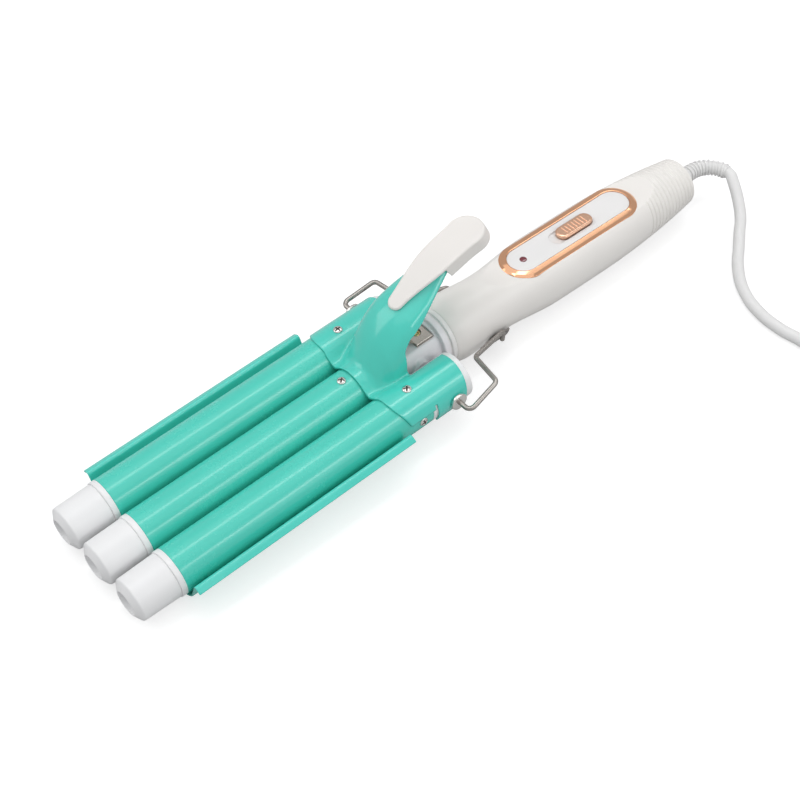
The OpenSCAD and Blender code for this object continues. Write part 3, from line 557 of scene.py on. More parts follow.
class PieceTree:
    """A Geometry Nodes tree with named inputs that ends in Realize Instances and Set Material."""

    def __init__(self, name: str, inputs: dict[str, str], kinds: dict[str, str]) -> None:
        """Makes the tree, its sockets and its nodes.

        Args:
            name: The tree's name.
            inputs: Kinds of its own inputs by name.
            kinds: Kinds of its own nodes by short name.
        """
        self.tree = bpy.data.node_groups.new(name, "GeometryNodeTree")
        for label, kind in {"Geometry": "Geometry", **inputs, "Finish": "Material"}.items():
            self.tree.interface.new_socket(label, in_out="INPUT", socket_type="NodeSocket" + kind)
        self.tree.interface.new_socket("Geometry", in_out="OUTPUT", socket_type="NodeSocketGeometry")
        ends = {
            "given": "NodeGroupInput", "result": "NodeGroupOutput",
            "real": "GeometryNodeRealizeInstances", "dress": "GeometryNodeSetMaterial"}
        self.nodes = {label: self.tree.nodes.new(kind) for label, kind in {**ends, **kinds}.items()}

    def link(self, *links: str) -> None:
        """Links the nodes, and then the tree's end.

        Args:
            *links: Texts such as 'given.Geometry > put.Points'.
        """
        end = (
            "real.Geometry > dress.Geometry", "given.Finish > dress.Material",
            "dress.Geometry > result.Geometry")
        for text in links + end:
            (start, output), (stop, entry) = (part.split(".") for part in text.split(" > "))
            self.tree.links.new(self.nodes[start].outputs[output], self.nodes[stop].inputs[entry])

    def bake(self, name: str, mesh: bpy.types.Mesh, values: dict[str, object]) -> bpy.types.Object:
        """Runs the tree on a mesh and keeps the result as a plain mesh.

        Args:
            name: The piece's name.
            mesh: The mesh that the tree starts from.
            values: The tree's inputs by name.

        Returns:
            The piece.
        """
        obj = new_object(name, mesh)
        modifier = obj.modifiers.new("nodes", "NODES")
        modifier.node_group = self.tree
        sockets = {s.name: s.identifier for s in self.tree.interface.items_tree if s.in_out == "INPUT"}
        for label, value in values.items():
            modifier[sockets[label]] = value
        graph = bpy.context.evaluated_depsgraph_get()
        graph.update()
        result = bpy.data.meshes.new_from_object(obj.evaluated_get(graph), depsgraph=graph)
        obj.modifiers.remove(modifier)
        obj.data = result
        return obj


@dataclass(frozen=True)
class Spot:
    """Where one repeat stands: its point in metres, what its Z faces, its spin and its size."""

    at: Vector
    facing: Vector
    spin: float = 0.0
    size: float = 1.0


class RepeatTree(PieceTree):
    """Sets a shape on every vertex of a mesh, its Z along the vertex's facing, turned by its spin."""

    kinds = {"facing": "FLOAT_VECTOR", "spin": "FLOAT", "size": "FLOAT"}

    def __init__(self) -> None:
        """Builds the node group."""
        super().__init__("repeat_on_points", {"Shape": "Object"}, {
            **dict.fromkeys(self.kinds, "GeometryNodeInputNamedAttribute"),
            "align": "FunctionNodeAlignRotationToVector", "turn": "FunctionNodeRotateRotation",
            "about": "FunctionNodeAxisAngleToRotation", "shape": "GeometryNodeObjectInfo",
            "put": "GeometryNodeInstanceOnPoints"})
        for name, kind in self.kinds.items():
            self.nodes[name].data_type = kind
            set_inputs(self.nodes[name], {"Name": name})
        self.nodes["align"].axis = "Z"
        self.nodes["turn"].rotation_space = "LOCAL"
        set_inputs(self.nodes["about"], {"Axis": (0, 0, 1)})
        self.link(
            "facing.Attribute > align.Vector", "spin.Attribute > about.Angle",
            "align.Rotation > turn.Rotation",
            "about.Rotation > turn.Rotate By", "given.Shape > shape.Object", "given.Geometry > put.Points",
            "shape.Geometry > put.Instance", "turn.Rotation > put.Rotation", "size.Attribute > put.Scale",
            "put.Instances > real.Geometry")

    def apply(
        self, name: str, spots: list[Spot], shape: Mesh, finish: Finish, body: str, *replaced: str
    ) -> None:
        """Makes one piece of all the repeats.

        Args:
            name: The piece's name.
            spots: Where each repeat stands.
            shape: Vertices in millimetres, standing on Z, and faces.
            finish: What it is made of.
            body: The CAD body it rides on.
            *replaced: CAD nodes that it stands for.
        """
        pattern = bpy.data.meshes.new(name + "_shape")
        pattern.from_pydata((shape[0] * MM).tolist(), [], shape[1])
        pattern.shade_smooth()
        model = bpy.data.objects.new(name + "_shape", pattern)
        carrier = bpy.data.meshes.new(name)
        carrier.from_pydata([tuple(spot.at) for spot in spots], [], [])
        for label, kind in self.kinds.items():
            carrier.attributes.new(label, kind, "POINT")
        for i, spot in enumerate(spots):
            carrier.attributes["facing"].data[i].vector = spot.facing
            carrier.attributes["spin"].data[i].value = spot.spin
            carrier.attributes["size"].data[i].value = spot.size
        obj = self.bake(name, carrier, {"Shape": model, "Finish": finish.build()})
        bpy.data.objects.remove(model)
        register(obj, finish, body, *replaced)


class SweepTree(PieceTree):
    """Sweeps a round wire along a line of edges, and closes its ends."""

    bend_steps = 8
    wire_sides = 20

    def __init__(self) -> None:
        """Builds the node group."""
        super().__init__("wire_along_line", {"Radius": "Float", "Sides": "Int", "Bend": "Float"}, {
            "line": "GeometryNodeMeshToCurve", "bend": "GeometryNodeFilletCurve",
            "ring": "GeometryNodeCurvePrimitiveCircle", "sweep": "GeometryNodeCurveToMesh",
            "smooth": "GeometryNodeSetShadeSmooth"})
        self.nodes["bend"].mode = "POLY"
        set_inputs(self.nodes["bend"], {"Count": self.bend_steps})
        set_inputs(self.nodes["sweep"], {"Fill Caps": True})
        self.link(
            "given.Geometry > line.Mesh", "line.Curve > bend.Curve", "given.Bend > bend.Radius",
            "given.Radius > ring.Radius", "given.Sides > ring.Resolution", "bend.Curve > sweep.Curve",
            "ring.Curve > sweep.Profile Curve", "sweep.Mesh > smooth.Geometry",
            "smooth.Geometry > real.Geometry")

    def apply(
        self, name: str, lines: list[Array], radius: float, bend: float, finish: Finish, body: str,
        *replaced: str,
    ) -> None:
        """Makes one piece of all the wires.

        Args:
            name: The piece's name.
            lines: Corner points of each wire, in metres.
            radius: The wire's radius in metres.
            bend: The radius of its bends in metres.
            finish: What it is made of.
            body: The CAD body it rides on.
            *replaced: CAD nodes that it stands for.
        """
        verts, edges = [], []
        for line in lines:
            edges += [(len(verts) + i, len(verts) + i + 1) for i in range(len(line) - 1)]
            verts += line.tolist()
        mesh = bpy.data.meshes.new(name)
        mesh.from_pydata(verts, edges, [])
        values = {"Radius": radius, "Sides": self.wire_sides, "Bend": bend, "Finish": finish.build()}
        register(self.bake(name, mesh, values), finish, body, *replaced)


# ---------------------------------------------------------------------------------------------
# Sub-assemblies


@dataclass
class HandleShell:
    """The moulded grip: its waist and belly, the flat seat with scooped ends, and the ribs at its rear."""

    front: float = 21.8
    flare: float = 30.5
    waist: float = 56.0
    belly: float = 95.5
    taper: float = 125.5
    taper_fall: float = 1000.0
    front_r: float = 16.4
    flare_r: float = 18.3
    waist_r: float = 16.8
    belly_r: float = 19.6
    bore: Pair = (6.0, 14.2)
    edge_r: float = 1.2
    cord_hole: tuple[Pair, ...] = ((0.0, 4.8), (0.3, 4.45), (3.0, 4.4))
    rib_first: float = 163.5
    rib_pitch: float = 2.9
    rib_count: int = 13
    rib_depth: float = 0.6
    rib_half: float = 0.72
    rib_steps: tuple[float, ...] = (-1.5, -1.15, -1, -0.8, -0.5, 0, 0.5, 0.8, 1, 1.15, 1.5)
    seat: Pair = (69.1, 162.0)
    seat_ease: float = 0.5
    scoop_r: float = 40.0
    scoop_share: float = 0.9
    sides: int = 240

    def radius(self, s: float) -> float:
        """Gives the grip's radius.

        Args:
            s: The distance behind the hinge.

        Returns:
            The radius without the seat and the ribs.
        """
        if s < self.flare:
            share = math.sin(math.pi / 2 * (s - self.front) / (self.flare - self.front))
            return self.front_r + (self.flare_r - self.front_r) * share
        for start, end, r0, r1 in ((self.flare, self.waist, self.flare_r, self.waist_r),
                                   (self.waist, self.belly, self.waist_r, self.belly_r)):
            if s < end:
                return r0 + (r1 - r0) * (1 - math.cos(math.pi * (s - start) / (end - start))) / 2
        return self.belly_r - max(0.0, s - self.taper) ** 2 / self.taper_fall

    def ribbed(self, s: float) -> float:
        """Gives the radius with the grooves between the ribs taken out."""
        off = min(abs(s - self.rib_first - i * self.rib_pitch) for i in range(self.rib_count))
        return self.radius(s) - self.rib_depth * max(0.0, 1 - (off / self.rib_half) ** 2)

    def ceiling(self, s: float) -> float:
        """Gives the height of the flat seat, or of the scoops at its ends.

        Args:
            s: The distance behind the hinge.

        Returns:
            The height, which is far above the grip where there is no seat.
        """
        beyond = max(0.0, self.seat[0] - s, s - self.seat[1])
        if beyond >= self.scoop_r * self.scoop_share:
            return 3 * self.belly_r
        return SEAT_Z + self.scoop_r - math.sqrt(self.scoop_r**2 - beyond**2)

    def ring(self, s: float, r: float) -> Array:
        """Makes the grip's section, flattened under the seat's height.

        Args:
            s: The distance behind the hinge.
            r: The section's radius.

        Returns:
            Points by 3.
        """
        level, far = 1e-3, 1e3
        a = around(self.sides)
        top = np.where(np.cos(a) > level, self.ceiling(s) / np.maximum(np.cos(a), level), far)
        reach = blend_min(np.full(self.sides, r), top, self.seat_ease)
        return np.column_stack([np.full(self.sides, -s), reach * np.sin(a), reach * np.cos(a)])

    def build(self) -> None:
        """Lofts the grip from front to rear, with a seat for the neck and a hole for the cord."""
        coarse_end, coarse, fine = 60, 1.4, 1.0
        stations = [*np.arange(self.front + 0.6, coarse_end, coarse),
                    *np.arange(coarse_end, self.rib_first - self.edge_r, fine)]
        stations += [self.rib_first + i * self.rib_pitch + self.rib_half * t
                     for i in range(self.rib_count) for t in self.rib_steps]
        depth, bore_r = self.bore
        flat, edge = self.front_r - 0.45, 0.12
        loft = [(self.front + depth, bore_r), (self.front, bore_r), (self.front, flat),
                (self.front + edge, self.front_r - edge)]
        loft += [(s, self.ribbed(s)) for s in stations]
        inner = HANDLE_REAR - self.edge_r
        end = self.radius(inner)
        for a in map(math.radians, (15, 40, 65, 90)):
            loft.append((inner + self.edge_r * math.sin(a), end - self.edge_r * (1 - math.cos(a))))
        loft += [(HANDLE_REAR - deep, r) for deep, r in self.cord_hole]
        mesh = grid_mesh([self.ring(s, r) for s, r in loft])
        new_piece("handle_grip", mesh, Space.HANDLE, HANDLE_WHITE, "handle", "handle_shell", crease=38)


@dataclass
class Neck:
    """The grey neck with its spring flat and hinge bosses, the flange behind it and the handle's collar."""

    radius: float = 12.2
    front: float = 10.3
    rear: float = -16.2
    flat: Triple = (-14.2, 6.0, 9.6)
    boss_r: float = 5.5
    boss_y: float = 13.75
    end_ease: float = 0.5
    boss_ease: float = 0.4
    boss_fillet: float = 0.9
    flat_ease: float = 0.45
    cell: float = 0.5
    sides: int = 144

    def shape(self, x: Array, y: Array, z: Array) -> Array:
        """The neck's field.

        Args:
            x, y, z: The points, in the device's frame.

        Returns:
            The field there.
        """
        ends = np.maximum(x - self.front, self.rear - x)
        body = blend_max(np.hypot(y, z) - self.radius, ends, self.end_ease)
        boss = blend_max(np.hypot(x, z) - self.boss_r, np.abs(y) - self.boss_y, self.boss_ease)
        low, high, floor = self.flat
        notch = box_field(x, y, z, (low, -20, floor), (high, 20, 30))
        return blend_max(blend_min(body, boss, self.boss_fillet), -notch, self.flat_ease)

    def build(self) -> None:
        """Meshes the neck and turns the rings behind it."""
        mesh = surface_net(self.shape, (self.rear - 1, -15, -13.5), (self.front + 1, 15, 13.5), self.cell)
        new_piece("neck_body", mesh, Space.DEVICE, NECK_GREY, "handle", "neck", mend=False)
        for name, finish, (rear, rear_r), (front, front_r), ease, *replaced in (
            ("neck_flange", NECK_GREY, (-18.5, 15.5), (-15, 15.6), (0, 0.35, 0.9, 0)),
            ("neck_seal", COLLAR_WHITE, (-19.6, 15.0), (-18.2, 15.0), 0.1),
            ("collar_ring", COLLAR_WHITE, (-21.85, 16.3), (-19.4, 16.3), (0, 0.25, 0.7, 0), "handle_collar"),
        ):
            profile = eased([(rear, 0.0), (rear, rear_r), (front, front_r), (front, 0.0)], ease)
            new_piece(name, lathe(profile, self.sides), Space.HANDLE, finish, "handle", *replaced)


@dataclass
class ControlGroup:
    """The panel in its glossy ring, the lamp's lens, and the slide button with its cross ridges."""

    front: float = 82.1
    rear: float = 149.0
    panel_r: float = 8.8
    panel_z: float = 15.4
    panel_foot: float = 13.6
    ring_r: float = 13.0
    ring_z: float = 15.9
    ring_foot: float = 13.4
    button: Pair = (111.5, 126.9)
    button_r: float = 4.3
    button_z: float = 17.5
    button_foot: float = 15.0
    recess: Pair = (0.3, 0.7)
    travel: float = 4.5
    lens: tuple[Pair, ...] = ((15.0, 0.0), (15.0, 2.0), (15.6, 2.0), (15.85, 0.9), (15.9, 0.0))
    ridge_count: int = 7
    ridge_pitch: float = 2.3
    ridge_half: float = 2.9
    ridge_r: float = 0.45

    def ring_piece(self) -> None:
        """Makes the copper ring round the panel."""
        inner = self.panel_r + 0.02
        section = eased([
            (self.ring_r, self.ring_foot), (self.ring_r, SEAT_Z + 0.1), (self.ring_r - 1.5, SEAT_Z + 0.95),
            (self.panel_r + 0.55, self.ring_z), (inner, self.ring_z - 0.1), (inner, self.ring_foot),
        ], (0, 0.35, 1.6, 0.5, 0.2, 0), 6)
        rings = [stadium_ring(self.front, self.rear, r, z) for r, z in section]
        mesh = grid_mesh([*rings, rings[0]], closed_ends=False)
        new_piece("panel_ring", mesh, Space.HANDLE, COPPER, "handle", "panel_bezel")

    def panel_piece(self) -> None:
        """Makes the panel's face with the button's recess."""
        top, rim = self.panel_z, self.panel_r
        wide, low = self.button_r + self.recess[0], self.panel_z - self.recess[1]
        rings = [stadium_ring(self.front, self.rear, r, z) for r, z in (
            (rim - 0.05, self.panel_foot), (rim - 0.05, top - 0.3), (rim - 0.14, top - 0.08),
            (rim - 0.4, top))]
        rings += [stadium_ring(self.button[0] - self.travel, self.button[1], r, z) for r, z in (
            (wide + 0.25, top), (wide + 0.07, top - 0.06), (wide, top - 0.25), (wide, low + 0.1),
            (wide - 0.1, low), (0.4, low))]
        mesh = grid_mesh(rings)
        new_piece("panel_face", mesh, Space.HANDLE, PANEL_WHITE, "handle", "control_panel", crease=50)

    def lens_piece(self) -> None:
        """Makes the lamp's domed lens."""
        mesh = lathe(eased(self.lens, (0, 0.1, 0.35, 0.6, 0)), 48, "Z", (-self.front, 0, 0))
        new_piece("lamp_lens", mesh, Space.HANDLE, LENS_RED, "handle", "indicator_lens")

    def button_pieces(self, repeat: RepeatTree) -> None:
        """Makes the slide button, and its ridges as one repeated bar.

        Args:
            repeat: The tree that repeats the bar.
        """
        r, z = self.button_r, self.button_z
        rows = eased([(r, self.button_foot), (r, z - 0.35), (r - 1.0, z), (0.3, z + 0.02)], (0, 0.7, 0.5, 0))
        mesh = grid_mesh([stadium_ring(*self.button, reach, height) for reach, height in rows])
        new_piece("slide_button", mesh, Space.HANDLE, BUTTON_COPPER, "switch", "switch_button")
        end = [(self.ridge_half - self.ridge_r * (1 - math.cos(a)), self.ridge_r * math.sin(a))
               for a in map(math.radians, (90, 60, 30))] + [(self.ridge_half, 0.0)]
        bar = lathe([(-station, radius) for station, radius in reversed(end)] + end, 14)
        m = Space.HANDLE.matrix()
        up = (m.to_3x3() @ Vector((0, 0, 1))).normalized()
        first = -sum(self.button) / 2 - (self.ridge_count - 1) / 2 * self.ridge_pitch
        spots = [Spot(m @ Vector((first + i * self.ridge_pitch, 0, z - 0.02)), up, math.pi / 2)
                 for i in range(self.ridge_count)]
        repeat.apply("button_ridges", spots, bar, BUTTON_COPPER, "switch")

    def build(self, repeat: RepeatTree) -> None:
        """Makes the whole group.

        Args:
            repeat: The tree that repeats the ridges.
        """
        self.ring_piece()
        self.panel_piece()
        self.lens_piece()
        self.button_pieces(repeat)


@dataclass
class Barrels:
    """The three heated tubes with their end caps, and the plugs behind the outer two."""

    end: float = 164.5
    tube_start: float = 14.5
    middle_start: float = 10.3
    bore_r: float = 11.7
    edge: Pair = (0.2, 0.22)
    tip: float = 190.5
    cap_r: float = 11.5
    shoulder: float = 2.5
    spigot: Pair = (6.0, 11.4)
    band: Pair = (3.0, 12.42)
    groove: tuple[Pair, ...] = ((0.02, 11.6), (0.3, 11.55), (0.32, 11.88))
    cap_ease: tuple[float, ...] = (0, 0, 0, 0.2, 0.35, 0.1, 0.1, 0.3, 1.3, 0.5, 0.25, 0.4, 0)
    dish: tuple[Pair, ...] = ((0.0, 7.0), (0.0, 6.4), (-3.4, 5.9), (-3.4, 0.0))
    plug_rear: float = -11.5
    plug_dish: Triple = (0.5, 8.6, 9.0)
    sides: int = 160

    def tube(self, side: str, y: float, start: float, body: str) -> None:
        """Makes one tube, open at both ends.

        Args:
            side: The side's name.
            y: The tube's place across the device.
            start: Where the tube starts.
            body: The CAD body it rides on.
        """
        near, far = self.edge
        profile = [(start, self.bore_r), (start, BARREL_R - near), (start + near, BARREL_R),
                   (self.end - far, BARREL_R), (self.end, BARREL_R - far), (self.end, self.bore_r),
                   (start, self.bore_r)]
        mesh = lathe(profile, self.sides, "X", (0, y, 0))
        new_piece(f"tube_{side}", mesh, Space.DEVICE, MINT, body, f"{side}_barrel", crease=30)

    def cap(self, side: str, y: float, body: str) -> None:
        """Makes one end cap: a ring against the tube, a drafted body, a sloped shoulder and a dished end.

        Args:
            side: The side's name.
            y: The cap's place across the device.
            body: The CAD body it rides on.
        """
        (deep, spigot_r), (wide, band_r), seat = self.spigot, self.band, 0.04
        behind = [(-deep, 0.0), (-deep, spigot_r), (seat, spigot_r), (seat, band_r), (wide, band_r)]
        behind += [(wide + x, r) for x, r in self.groove]
        ahead = [(-self.shoulder, self.cap_r), *self.dish]
        corners = [(self.end + x, r) for x, r in behind] + [(self.tip + x, r) for x, r in ahead]
        mesh = lathe(eased(corners, self.cap_ease, 6), self.sides, "X", (0, y, 0))
        new_piece(f"cap_{side}", mesh, Space.DEVICE, CAP_WHITE, body, f"{side}_tip_cap")

    def plug(self, side: str, y: float) -> None:
        """Makes the plug behind one outer tube.

        Args:
            side: The side's name.
            y: The plug's place across the device.
        """
        rear, front = self.plug_rear, self.tube_start - 0.1
        deep, floor_r, rim_r = self.plug_dish
        profile = eased([(rear + deep, 0.0), (rear + deep, floor_r), (rear, rim_r), (rear, BARREL_R),
                         (front, BARREL_R), (front, 0.0)], (0, 0.3, 0.3, 1.0, 0.2, 0), 6)
        mesh = lathe(profile, self.sides, "X", (0, y, 0))
        new_piece(f"plug_{side}", mesh, Space.DEVICE, CAP_WHITE, "clamp", f"{side}_end_plug")

    def build(self) -> None:
        """Makes tubes, caps and plugs."""
        for side, y, body in (
            ("left", -PITCH, "clamp"), ("middle", 0.0, "handle"), ("right", PITCH, "clamp"),
        ):
            self.tube(side, y, self.middle_start if side == "middle" else self.tube_start, body)
            self.cap(side, y, body)
            if side != "middle":
                self.plug(side, y)


@dataclass
class LowerJaw:
    """The pressed sheet under the tubes: two troughs, ridges between them, and walls with folded lips."""

    start: float = 33.5
    end: float = 163.5
    runs: int = 8
    sheet: float = 1.0
    middle_r: float = 13.02
    side_r: float = 14.4
    ridge_r: float = 2.5
    wall_angle: float = 25.0
    fold: Pair = (44.0, 5.0)
    fold_r: float = 1.5
    lip: Pair = (47.5, 2.7)
    lip_bulge: float = 0.28
    ease: tuple[Pair, ...] = ((0.0, 0.62), (0.1, 0.86), (0.3, 1.0))

    def line(self) -> Array:
        """Gives the middle of the sheet in section.

        Returns:
            Points by 2, from the left lip to the right one.
        """
        a, b = self.middle_r + self.ridge_r, self.side_r + self.ridge_r
        y = (PITCH**2 + a * a - b * b) / (2 * PITCH)
        z = math.sqrt(a * a - y * y)
        low, high = math.atan2(z, y), math.atan2(z, PITCH - y)
        wall = 2 * math.pi - math.radians(self.wall_angle)
        right = []
        for cy, cz, r, t0, t1, steps in (
            (0, 0, self.middle_r, -math.pi / 2, -low, 26), (y, -z, self.ridge_r, math.pi - low, high, 16),
            (PITCH, 0, self.side_r, math.pi + high, wall, 44),
        ):
            turns = [t0 + (t1 - t0) * i / steps for i in range(1 if right else 0, steps + 1)]
            right += [(cy + r * math.cos(t), cz + r * math.sin(t)) for t in turns]
        right = right[:-1] + eased([right[-1], self.fold, self.lip], self.fold_r, 8)
        return np.array([(-q[0], q[1]) for q in right[:0:-1]] + right)

    def build(self) -> None:
        """Sweeps the section along the tubes, with eased ends."""
        line = self.line()
        along = np.gradient(line, axis=0)
        along /= np.linalg.norm(along, axis=1, keepdims=True)
        side = np.column_stack([-along[:, 1], along[:, 0]])
        span = self.end - self.start
        stations = [(self.start + x, t) for x, t in self.ease]
        stations += [(self.start + span * i / self.runs, 1.0) for i in range(1, self.runs)]
        stations += [(self.end - x, t) for x, t in reversed(self.ease)]
        rings = []
        for x, t in stations:
            h = self.sheet / 2 * t
            lip = along[-1] * (self.lip_bulge * t)
            loop = np.vstack([line + side * h, line[-1] + lip, (line - side * h)[::-1],
                              line[0] * [1, 1] + lip * [-1, 1]])
            rings.append(np.column_stack([np.full(len(loop), x), loop]))
        verts, faces = grid_mesh(rings, closed_ends=False)
        n, m = len(line), len(rings[0])
        for base, step in ((0, 1), ((len(rings) - 1) * m, -1)):
            last = base + 2 * n
            faces += [[base + i, base + i + 1, last - 1 - i, last - i][::step] for i in range(n - 1)]
            faces += [[base + n - 1, base + n, base + n + 1], [base, base + 2 * n, base + 2 * n + 1]]
        new_piece("jaw_sheet", (verts, faces), Space.DEVICE, MINT_SHEET, "handle", "lower_jaw", crease=35)


def tongue_bow(s: Array) -> Array:
    """Gives how far the bowed tongue stands above its chord, at a distance up the tongue."""
    height, curl, middle = 4.05, 0.0034, 19
    return height - curl * (s - middle) ** 2


@dataclass
class ClampLever:
    """The pressed clamp: saddles over the outer tubes, ears at the hinge, the domed root and the tongue.

    nose is the start's x and z, the fall and the curl of the crest's front. edge is the x, half width and z
    of the root's rear corner, with rise behind it and drop before it, each as height over the corner, slope
    and what makes the field a distance. notch is the kink's x and z, the slopes under and over it, and the
    same factor. ear_edge is the x at the saddle's height, and how far it leans over what height. sags are
    (x, fall of the tongue's edge under its crest).
    """

    sheet: float = 1.0
    cover_thin: float = 1.82
    saddle_r: float = 13.6
    crown_r: float = 13.9
    valley: float = 7.5
    front: float = 34.5
    sweep_r: float = 18.4
    step: float = 12.0
    band_foot: float = 3.1
    ear_inner: float = 19.7
    ear_foot: float = -8.0
    wall_y: float = 17.2
    shoulder: float = 6.5
    fillet: float = 2.6
    sheet_ease: float = 0.45
    cell: float = 0.45
    nose: tuple[float, float, float, float] = (4.0, 40.9, 0.5, 0.0232)
    edge: Triple = (3.8, 16.1, 34.0)
    rise: Triple = (-1.5, 0.571, 0.868)
    drop: Triple = (0.6, 1.15, 0.656)
    notch: tuple[float, ...] = (14.6, 20, 0.5, 1.2, 0.894)
    ear_edge: Triple = (-8.2, 2.7, 21.6)
    tongue_end: float = -46.0
    tongue_ease: float = 5.0
    edge_taper: float = 0.318
    half_range: Pair = (7.2, 16.4)
    slit: Pair = (1.2, 5.5)
    ear_fillet: float = 0.6
    root_fillet: float = 1.6
    slit_ease: float = 0.3
    box_low: Triple = (-48, -42, -9.5)
    box_high: Triple = (36, 42, 62)
    sags: tuple[Pair, ...] = ((-50, 2.5), (-24, 4.0), (-17, 5.3), (-10, 6.2), (-3, 6.7), (4, 7.0), (12, 7.2),
                              (20, 8.5), (24, 11.0), (36, 13.0))

    def crest(self) -> tuple[Array, Array]:
        """Gives the line along the top of the tongue and down the nose.

        Returns:
            Evenly spaced x, and the smoothed z there.
        """
        knee_x, _, knee_z = KNEE_MM
        nose_x, nose_z, fall, curl = self.nose
        cos, sin = math.cos(TONGUE_SLOPE), math.sin(TONGUE_SLOPE)
        tail_s, knee_s, front_x, step = 66, 4, 40, 0.25
        s = np.linspace(tail_s, knee_s, 120)
        lift = tongue_bow(s) - self.cover_thin
        dx = np.linspace(nose_x, front_x, 80) - nose_x
        x = np.concatenate([knee_x - s * cos + lift * sin, nose_x + dx])
        z = np.concatenate([knee_z + s * sin + lift * cos, nose_z - fall * dx - curl * dx * dx])
        order = np.argsort(x)
        even = np.arange(-60, front_x, step)
        reach = 10
        line = np.pad(np.interp(even, x[order], z[order]), reach, mode="edge")
        window = 2 * reach + 1
        return even, np.convolve(line, np.ones(window) / window, mode="valid")

    def roof(self, x: Array, y: Array, z: Array) -> Array:
        """The field of the arched top of the root and tongue.

        Args:
            x, y, z: The points, in the device's frame.

        Returns:
            The field there.
        """
        even, line = self.crest()
        sag_x, sag = zip(*self.sags)
        bow = np.interp(x, sag_x, sag) / self.edge_half(x) ** 2
        height = np.interp(x, even, line) - bow * y * y
        slope_x = np.interp(x + 0.5, even, line) - np.interp(x - 0.5, even, line)
        return (z - height) / np.sqrt(1 + slope_x**2 + (2 * bow * y) ** 2)

    def edge_half(self, x: Array) -> Array:
        """Gives half the width between the tongue's free edges."""
        return np.clip(self.edge[1] + self.edge_taper * (x - self.edge[0]), *self.half_range)

    def outside(self, x: Array, y: Array, z: Array) -> Array:
        """The field of the clamp's outer skin, as if it were solid.

        Args:
            x, y, z: The points, in the device's frame.

        Returns:
            The field there.
        """
        ay = np.abs(y)
        root = blend_max(self.roof(x, y, z), ay - self.wall_y, self.shoulder)
        saddle = np.hypot(ay - PITCH, z) - self.saddle_r
        crown = np.hypot(y, z) - self.crown_r
        return blend_min(blend_min(saddle, crown, self.valley), root, self.fillet)

    def allowed(self, x: Array, y: Array, z: Array) -> Array:
        """The field of the places where there is sheet: saddle band, ears, root and tongue.

        Args:
            x, y, z: The points, in the device's frame.

        Returns:
            The field there.
        """
        ay = np.abs(y)
        out = np.clip(ay - PITCH, 0, self.sweep_r - 0.5)
        front = self.front - (self.sweep_r - np.sqrt(self.sweep_r**2 - out**2))
        band = all_of(x - front, self.step - x, self.band_foot - z)
        ear_back, ear_lean, ear_height = self.ear_edge
        ear_rear = ear_back + ear_lean * (self.saddle_r - z) / ear_height
        ear = all_of(ear_rear - x, x - self.step - 0.3, self.ear_inner - ay, self.ear_foot - z)
        corner_x, _, corner_z = self.edge
        lift, slope, scale = self.rise
        rise = (corner_z + lift + slope * (corner_x - x) - z) * scale
        lift, slope, scale = self.drop
        drop = (corner_z + lift - slope * (x - corner_x) - z) * scale
        kink_x, kink_z, below, above, scale = self.notch
        notch = kink_x - np.where(z < kink_z, below * (kink_z - z), above * (z - kink_z))
        back = blend_max(drop, (notch - x) * scale, 1.0)
        flank = ay - self.edge_half(x) - np.clip(x - corner_x, 0, 3)
        side = blend_max(flank, self.tongue_end - x, self.tongue_ease)
        root = all_of(np.minimum(rise, back), side, x - front)
        wide, top = self.slit
        slit = box_field(x, ay, z, (self.step, PITCH, -20), (self.step + wide, 60, top))
        joined_up = blend_min(blend_min(band, ear, self.ear_fillet), root, self.root_fillet)
        return blend_max(joined_up, -slit, self.slit_ease)

    def shape(self, x: Array, y: Array, z: Array) -> Array:
        """The field of the sheet itself, with eased edges."""
        skin = np.abs(self.outside(x, y, z) + self.sheet / 2) - self.sheet / 2
        return blend_max(skin, self.allowed(x, y, z), self.sheet_ease)

    def build(self) -> None:
        """Meshes the clamp."""
        mesh = surface_net(self.shape, self.box_low, self.box_high, self.cell)
        new_piece("clamp_sheet", mesh, Space.DEVICE, MINT_SHEET, "clamp", "clamp_lever", mend=False)


@dataclass
class ThumbCover:
    """The moulded cover on the tongue: thin over the sheet, and a deep round end for the thumb."""

    low_r: float = 4.5
    high_r: float = 9.8
    distance: float = 48.5
    bulge: float = 1.5
    thin: float = 1.8
    deep: float = 9.2
    skirt_s: float = 32.0
    skirt_ease: float = 0.8
    box_low: Triple = (-1, -12.5, -13.5)
    box_high: Triple = (64.5, 12.5, 5.5)
    top_ease: float = 1.2
    foot_ease: float = 0.5
    cell: float = 0.5

    def shape(self, x: Array, y: Array, z: Array) -> Array:
        """The cover's field, bowed as the tongue is.

        Args:
            x, y, z: The points, in the tongue's frame.

        Returns:
            The field there.
        """
        z = z - tongue_bow(x)
        px, ay = x - self.low_r, np.abs(y)
        b = (self.low_r - self.high_r) / self.distance
        a = math.sqrt(1 - b * b)
        along = a * px - b * ay
        rounded = np.where(along > a * self.distance, np.hypot(px - self.distance, ay) - self.high_r,
                           a * ay + b * px - self.low_r)
        side = np.where(along < 0, np.hypot(px, ay) - self.low_r, rounded)
        side = side - self.bulge * np.sin(math.pi * np.clip(px / self.distance, 0, 1)) ** 2
        skirt = np.clip((x - self.skirt_s + self.skirt_ease / 2) / self.skirt_ease, 0, 1)
        depth = self.thin + (self.deep - self.thin) * skirt
        return blend_max(blend_max(side, z, self.top_ease), -depth - z, self.foot_ease)

    def build(self) -> None:
        """Meshes the cover."""
        mesh = surface_net(self.shape, self.box_low, self.box_high, self.cell)
        new_piece("thumb_pad", mesh, Space.TONGUE, COVER_WHITE, "clamp", "thumb_cover", mend=False)


